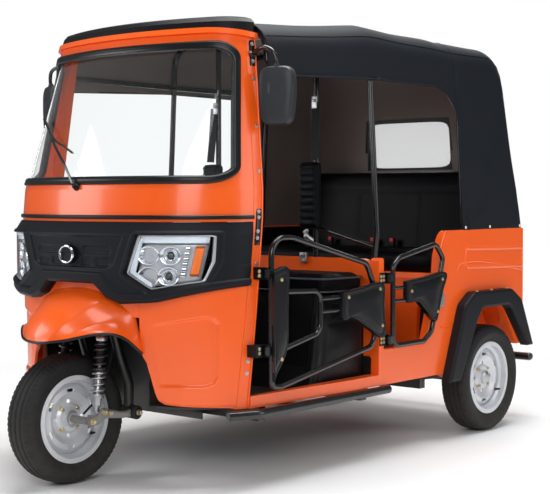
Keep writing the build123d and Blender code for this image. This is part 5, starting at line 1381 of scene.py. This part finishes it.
def back_shape(points):
    """Rear back: leans back with height, with a channel along it and two down it."""
    x, y, z = points.T
    front = rise(-y, -1010, -990)
    down = sum(np.exp(-((x - c) / 8) ** 2) for c in (-193, 193)) * (z < 1120)
    groove = (np.exp(-((z - 1120) / 8) ** 2) + down) * 2.5
    return np.stack([np.clip(x, -569, 569), y + groove * front + (z - 745) * 60 / 490,
                     np.clip(z, 745.5, 1240)], -1)


def pad_shape(points):
    """Driver's back pad: nine ribs across it."""
    x, y, z = points.T
    rib = 2.2 * np.cos((z - 945) * 2 * pi / 31) * rise(-y, -30, -10)
    return np.stack([x, np.maximum(y - rib, -9), np.clip(z, 946, 1247)], -1)


made = blown("driver_cushion", block((-577, -249, 698), (577, 27, 768), 27, 40), 9, 8, seat_shape)
fit(made, "seat_vinyl", "body", "driver_seat")
made = blown("rear_cushion", block((-570, 561, 752), (570, 974, 836), 28, 34), 12, 10, cushion_shape)
fit(made, "seat_vinyl", "body", "rear_seat_cushion")
made = blown("rear_back", block((-560, 991, 752), (560, 1072, 1228), 26, 34), 11, 10, back_shape)
fit(made, "seat_vinyl", "body", "rear_seat_back")
made = blown("back_pad_left", block((236, -2, 951), (340, 43, 1242), 16, 20), 4, 5, pad_shape)
fit(made, "seat_vinyl", "body", "driver_back_pads")
made = blown("back_pad_right", block((-340, -2, 951), (-236, 43, 1242), 16, 20), 4, 5, pad_shape)
fit(made, "seat_vinyl", "body", "driver_back_pads")
around = np.linspace(0, 2 * pi, 160, endpoint=False)
size = soft_box(np.cos(around), np.sin(around), 584, 145, 11)
line = np.stack([size * np.cos(around), -111 + size * np.sin(around), np.full(160, 757.0)], -1)
fit(piece("seat_piping", [rod(line, 4, 8, closed=True), rod(line + [0, 0, -52], 3.4, 8, closed=True)],
          piping), "seat_vinyl")
pad_plates = [joined(*[placed(block((-26, -18, 0), (26, 18, 5), 2, 8), (x, 48, z),
                              (0, 1, 0)) for z in (1150, 1030)])
              for x in (288, -288)]
hinge = [rod([(244, 30, 944), (262, 40, 915), (282, 50, 900)], 9, 10, up=(0, 0, 1)),
         copies(bolt(8, 6), [(262, 20, 920), (268, 22, 944)], (0, -1, 0))]
fit(piece("pad_brackets", pad_plates + both(hinge), steel), "steel")

# ---- seat housing, cab floor and partition ---------------------------------------------------
# A moulded box carries the driver's bench; a half-round corner roll and louvres are pressed into it.
paint_nodes(black_plastic, "seat_housing")
paint_nodes(orange, "rear_seat_base", "rear_wheel_boxes", "rear_quarters", "tail_panel")
# The floor pan takes the black frame paint in place of the orange given above: painted shade that darkens
# the cab's underside.
paint_nodes(frame_paint, "floor_pan", "rear_axle", "rear_shocks", "muffler")
paint_nodes(cast, "engine_block")
roll_line = [(544, -228, 688), (545, -252, 600), (546, -268, 500), (546, -282, 410), (546, -300, 325)]
shapes = [rod(smooth_line(roll_line, 40), 24, 18, up=(1, 0, 0))]
for k in range(5):
    shapes += [strip(np.stack([np.full(20, 565.0), np.linspace(-180, -60, 20), np.full(20, 652 - k * 14.0)],
                              -1),
                       [(-3, -3), (3.5, -3), (3.5, 1), (-3, 4)], up=(0, 0, 1))]
swell = np.stack(np.meshgrid(np.linspace(0, 1, 24), np.linspace(0, 1, 24), indexing="ij"), -1)
lift = 15 * (np.sin(pi * swell[..., 0]) * np.sin(pi * swell[..., 1])) ** 0.35
side_face = np.stack([562 + lift, -215 + 235 * swell[..., 0]
                      - 60 * (1 - swell[..., 1]) * (1 - swell[..., 0]),
                      330 + 245 * swell[..., 1]], -1)
shapes += [sheet_of(side_face)]
fit(piece("housing_mouldings", both(shapes), black_plastic), "black_plastic")

# ---- doors -----------------------------------------------------------------------------------
# Bent tube frames with moulded covers at the latch and hinge ends. The covers ride with their doors.
paint_nodes(tube_paint, "front_door_left", "front_door_right", "rear_door_left", "rear_door_right")
paint_nodes(black_plastic, "door_hinges")


def guard(corners, low_x, high_x):
    """A moulded cover over a flat guard: rings of its outline shrink and rise to a crowned face with one
    ridge."""
    line = smooth_line(np.array(list(corners) + [corners[0]], float), 90)[:-1]
    middle = line.mean(0)
    rings = []
    for grow, x in ((1.0, low_x), (1.015, low_x + 2), (1.015, high_x - 5), (1.0, high_x - 1),
                    (0.96, high_x + 0.5),
                    (0.90, high_x + 0.5), (0.86, high_x - 2), (0.80, high_x - 2), (0.74, high_x + 1),
                    (0.4, high_x + 3), (0, high_x + 3.5)):
        spot = middle + (line - middle) * grow
        rings += [np.stack([np.full(89, x), spot[:, 0], spot[:, 1]], -1)]
    back = np.stack([np.full(89, low_x), np.full(89, middle[0]), np.full(89, middle[1])], -1)
    return sheet_of(np.array([back] + rings), round_columns=True)


FRONT_GUARD = [(-261, 710), (-140, 722), (8, 734), (17, 640), (18, 512), (-90, 556), (-193, 604),
               (-261, 606)]
REAR_GUARD = [(185, 732), (330, 744), (488, 755), (452, 660), (420, 562), (390, 554), (276, 640),
              (193, 646)]
HINGE_COVER = [(-680, 811), (-596, 820), (-598, 700), (-602, 526), (-664, 428), (-680, 432)]
for side, turn_over in (("left", lambda s: s), ("right", flipped)):
    front = [turn_over(guard(FRONT_GUARD, 661, 685)), turn_over(guard(HINGE_COVER, 661, 679))]
    fit(piece("front_guard_" + side, front, black_plastic), "black_plastic", "front_door_" + side)
    fit(piece("rear_guard_" + side, [turn_over(guard(REAR_GUARD, 661, 685))], black_plastic),
        "black_plastic", "rear_door_" + side)
    dots = [copies(bolt(6, 4), [(686, -230, 690), (686, -16, 712), (686, 0, 560), (680, -640, 780),
                                (680, -640, 480)], (1, 0, 0))]
    fit(piece("front_door_bolts_" + side, [turn_over(d) for d in dots], zinc), "steel", "front_door_"
        + side)
    dots = [copies(bolt(6, 4), [(686, 214, 690), (686, 452, 730), (686, 414, 590)], (1, 0, 0))]
    fit(piece("rear_door_bolts_" + side, [turn_over(d) for d in dots], zinc), "steel", "rear_door_" + side)
hinge_bolts = copies(bolt(6, 4), [(645, y, z) for y in (48, 66) for z in (742, 758, 482, 498)], (1, 0, 0))
front_hinge = copies(bolt(6, 4), [(645, -728, z) for z in (798, 814, 508, 524)], (1, 0, 0))
strikers = joined(*[placed(block((-22, -30, 0), (22, 30, 4), 1.5, 8), (641, y, z), (1, 0, 0)) for y,
                    z in ((54, 619), (512, 632))])
fit(piece("body_hinge_bolts", [hinge_bolts, flipped(hinge_bolts), front_hinge, flipped(front_hinge)], zinc),
    "steel")
fit(piece("striker_plates", [strikers, flipped(strikers)], steel), "steel")

# Vinyl-covered boards line the inner faces of the rear body beside the passengers.
board = block((592, 552, 748), (599.5, 1190, 936), 3, 16)
fit(piece("quarter_boards", [board, flipped(board)], vinyl), "seat_vinyl")

# ---- rear quarters, flares and tail ----------------------------------------------------------
# Pressed beads stiffen the flat steel sides; black moulded flares are bolted round the arches.
def bead(points, width=13, high=4.2):
    """A pressed bead: a low smooth bump carried along a line on the side."""
    line = smooth_line([(640, y, z) for y, z in points], 60)
    return strip(line, [(-width, -1), (-width * 0.7, high * 0.5), (0, high), (width * 0.7, high * 0.5),
                        (width, -1)],
                   up=(1, 0, 0))


beads = [bead([(722, 858), (980, 852), (1226, 848)]), bead([(722, 772), (980, 766), (1226, 760)]),
         bead([(722, 858), (714, 815), (722, 772)], 8), bead([(1226, 848), (1230, 804), (1226, 760)], 8),
         bead([(640, 742), (690, 790), (900, 788), (1226, 738)], 6, 2.6),
         bead([(508, 512), (576, 508)], 6, 3)]
edge = rod(smooth_line([(636, 545, 936), (636, 500, 842), (636, 487, 740), (636, 440, 600), (636, 394, 455),
                        (636, 300, 447),
                        (636, 76, 447)], 90), 5, 8, up=(1, 0, 0))
top = rod([(636, 545, 936), (636, 900, 938), (636, 1236, 938)], 4, 8, up=(1, 0, 0))
rear_edge = rod([(637, 1236, 936), (637, 1236, 600), (637, 1236, 382)], 4, 8, up=(1, 0, 0))
fit(piece("quarter_beads", [s for b in beads + [edge, top, rear_edge] for s in (b, flipped(b))], orange),
    "body_paint")
paint_nodes(slate, "wheel_flares")
flare_bolts = copies(bolt(7, 5), [(672, y, 657) for y in (760, 888, 1030)], (0, 0, 1))
fit(piece("flare_bolts", [flare_bolts, flipped(flare_bolts)], zinc), "steel")
knob = placed(turned([(-6, 10), (10, 10), (14, 15), (22, 13), (24, 0)], (0, 0, 0), "z", 20),
              (632, 1238, 450), (0, 1, 0))
fit(piece("tail_knobs", [knob, flipped(knob)], black_plastic), "black_plastic")
red = finish("red_lens", linear(190, 16, 14), linear(150, 8, 8), rough=0.14, size=700, depth=0.5,
             height=0.0003, dust=0.0)
white_plate = finish("plate_white", linear(226, 228, 230), linear(212, 214, 218), rough=0.35, size=200,
                     dust=0.1)
paint_nodes(white_plate, "number_plate")


def lens_block(low_z, high_z):
    """One lens of the tail lamp: a rounded block with shallow upright flutes on its face."""
    points, faces = block((477, 1236, low_z), (563, 1277, high_z), 8, 40)
    flute = 1.2 * np.cos(points[:, 0] * 2 * pi / 9) * (points[:, 1] > 1275)
    return points + np.stack([0 * flute, flute, 0 * flute], -1), faces


lights = [lens_block(592, 664), lens_block(667, 734), lens_block(737, 808)]
kinds = [lamp_plastic, red, amber]
fit(piece("tail_lenses", both(lights), kinds * 2), "red_lens", "body", "tail_lights")
ribs_x = np.linspace(-470, 470, 7)
ridges = [strip(np.stack([np.full(16, x), np.full(16, 1238.0), np.linspace(660, 900, 16)], -1),
                  [(-8, -1), (-5, 2), (0, 3.2), (5, 2), (8, -1)], up=(0, 1, 0)) for x in ribs_x]
fit(piece("tail_ribs", ridges, orange), "body_paint")
plate_screws = copies(bolt(5, 3), [(x, 1242, 530) for x in (-110, 110)], (0, 1, 0))
fit(piece("plate_screws", [plate_screws], zinc), "steel")

# ---- engine, springs and exhaust -------------------------------------------------------------
# The engine stays a plain cast block. Painted coil springs stand on the trailing arms, and steel straps
# hold the muffler.
springs = [coil((420, 888, 335), (420, 888, 600), 33, 6, 6),
           flipped(coil((420, 888, 335), (420, 888, 600), 33, 6, 6))]
fit(piece("rear_coils", springs, coil_paint), "steel")
band_clips = [turned([(-9, 45), (-9, 49), (9, 49), (9, 45)], (-235, 1008, 285), "y", 28),
              turned([(-9, 45), (-9, 49), (9, 49), (9, 45)], (-235, 1150, 285), "y", 28)]
fit(piece("muffler_straps", band_clips, steel), "steel")

# ---- controls and belts ----------------------------------------------------------------------
# A belt hangs from an anchor on each inner post, and the rear belts' red
# buckles stand between cushion and back.
red_button = finish("buckle_red", linear(214, 30, 26), linear(196, 20, 18), rough=0.3, size=300, dust=0.0)
webbing = finish("belt_webbing", linear(10, 11, 13), linear(17, 18, 21), rough=0.7, size=1100, depth=0.4,
                 height=0.0004,
                 dust=0.0)
belt_line = smooth_line([(300, 44, 1500), (302, 40, 1430), (306, 34, 1330), (310, 28, 1252)], 30)
belt = strip(belt_line, [(-22, -0.8), (22, -0.8), (22, 0.8), (-22, 0.8)], up=(0, 1, 0.05))
anchor = [placed(block((-14, -26, 0), (14, 26, 5), 2, 8), (292, 46, 1500), (0, -1, 0)),
          copies(bolt(8, 7), [(292, 40, 1508)], (0, -1, 0))]
fit(piece("belt_webbing", [belt, flipped(belt)], webbing), "seat_vinyl")
fit(piece("belt_anchors", both(anchor), steel), "steel")
buckle = block((-14, 952, 842), (14, 972, 884), 5, 8)
button = block((-10, 948, 866), (10, 956, 886), 3, 8)
places = (-330, -60, 60, 330)
shift = [(shape[0] + [x, 0, 0], shape[1]) for x in places for shape in (buckle, button)]
fit(piece("belt_buckles", shift, [black_plastic, red_button] * 4), "seat_vinyl")
lever_plate = block((228, 18, 806), (262, 36, 850), 3, 8)
fit(piece("lever_plate", [lever_plate, copies(bolt(6, 5), [(240, 18, 838), (252, 18, 816)], (0, -1, 0))],
          steel), "steel")
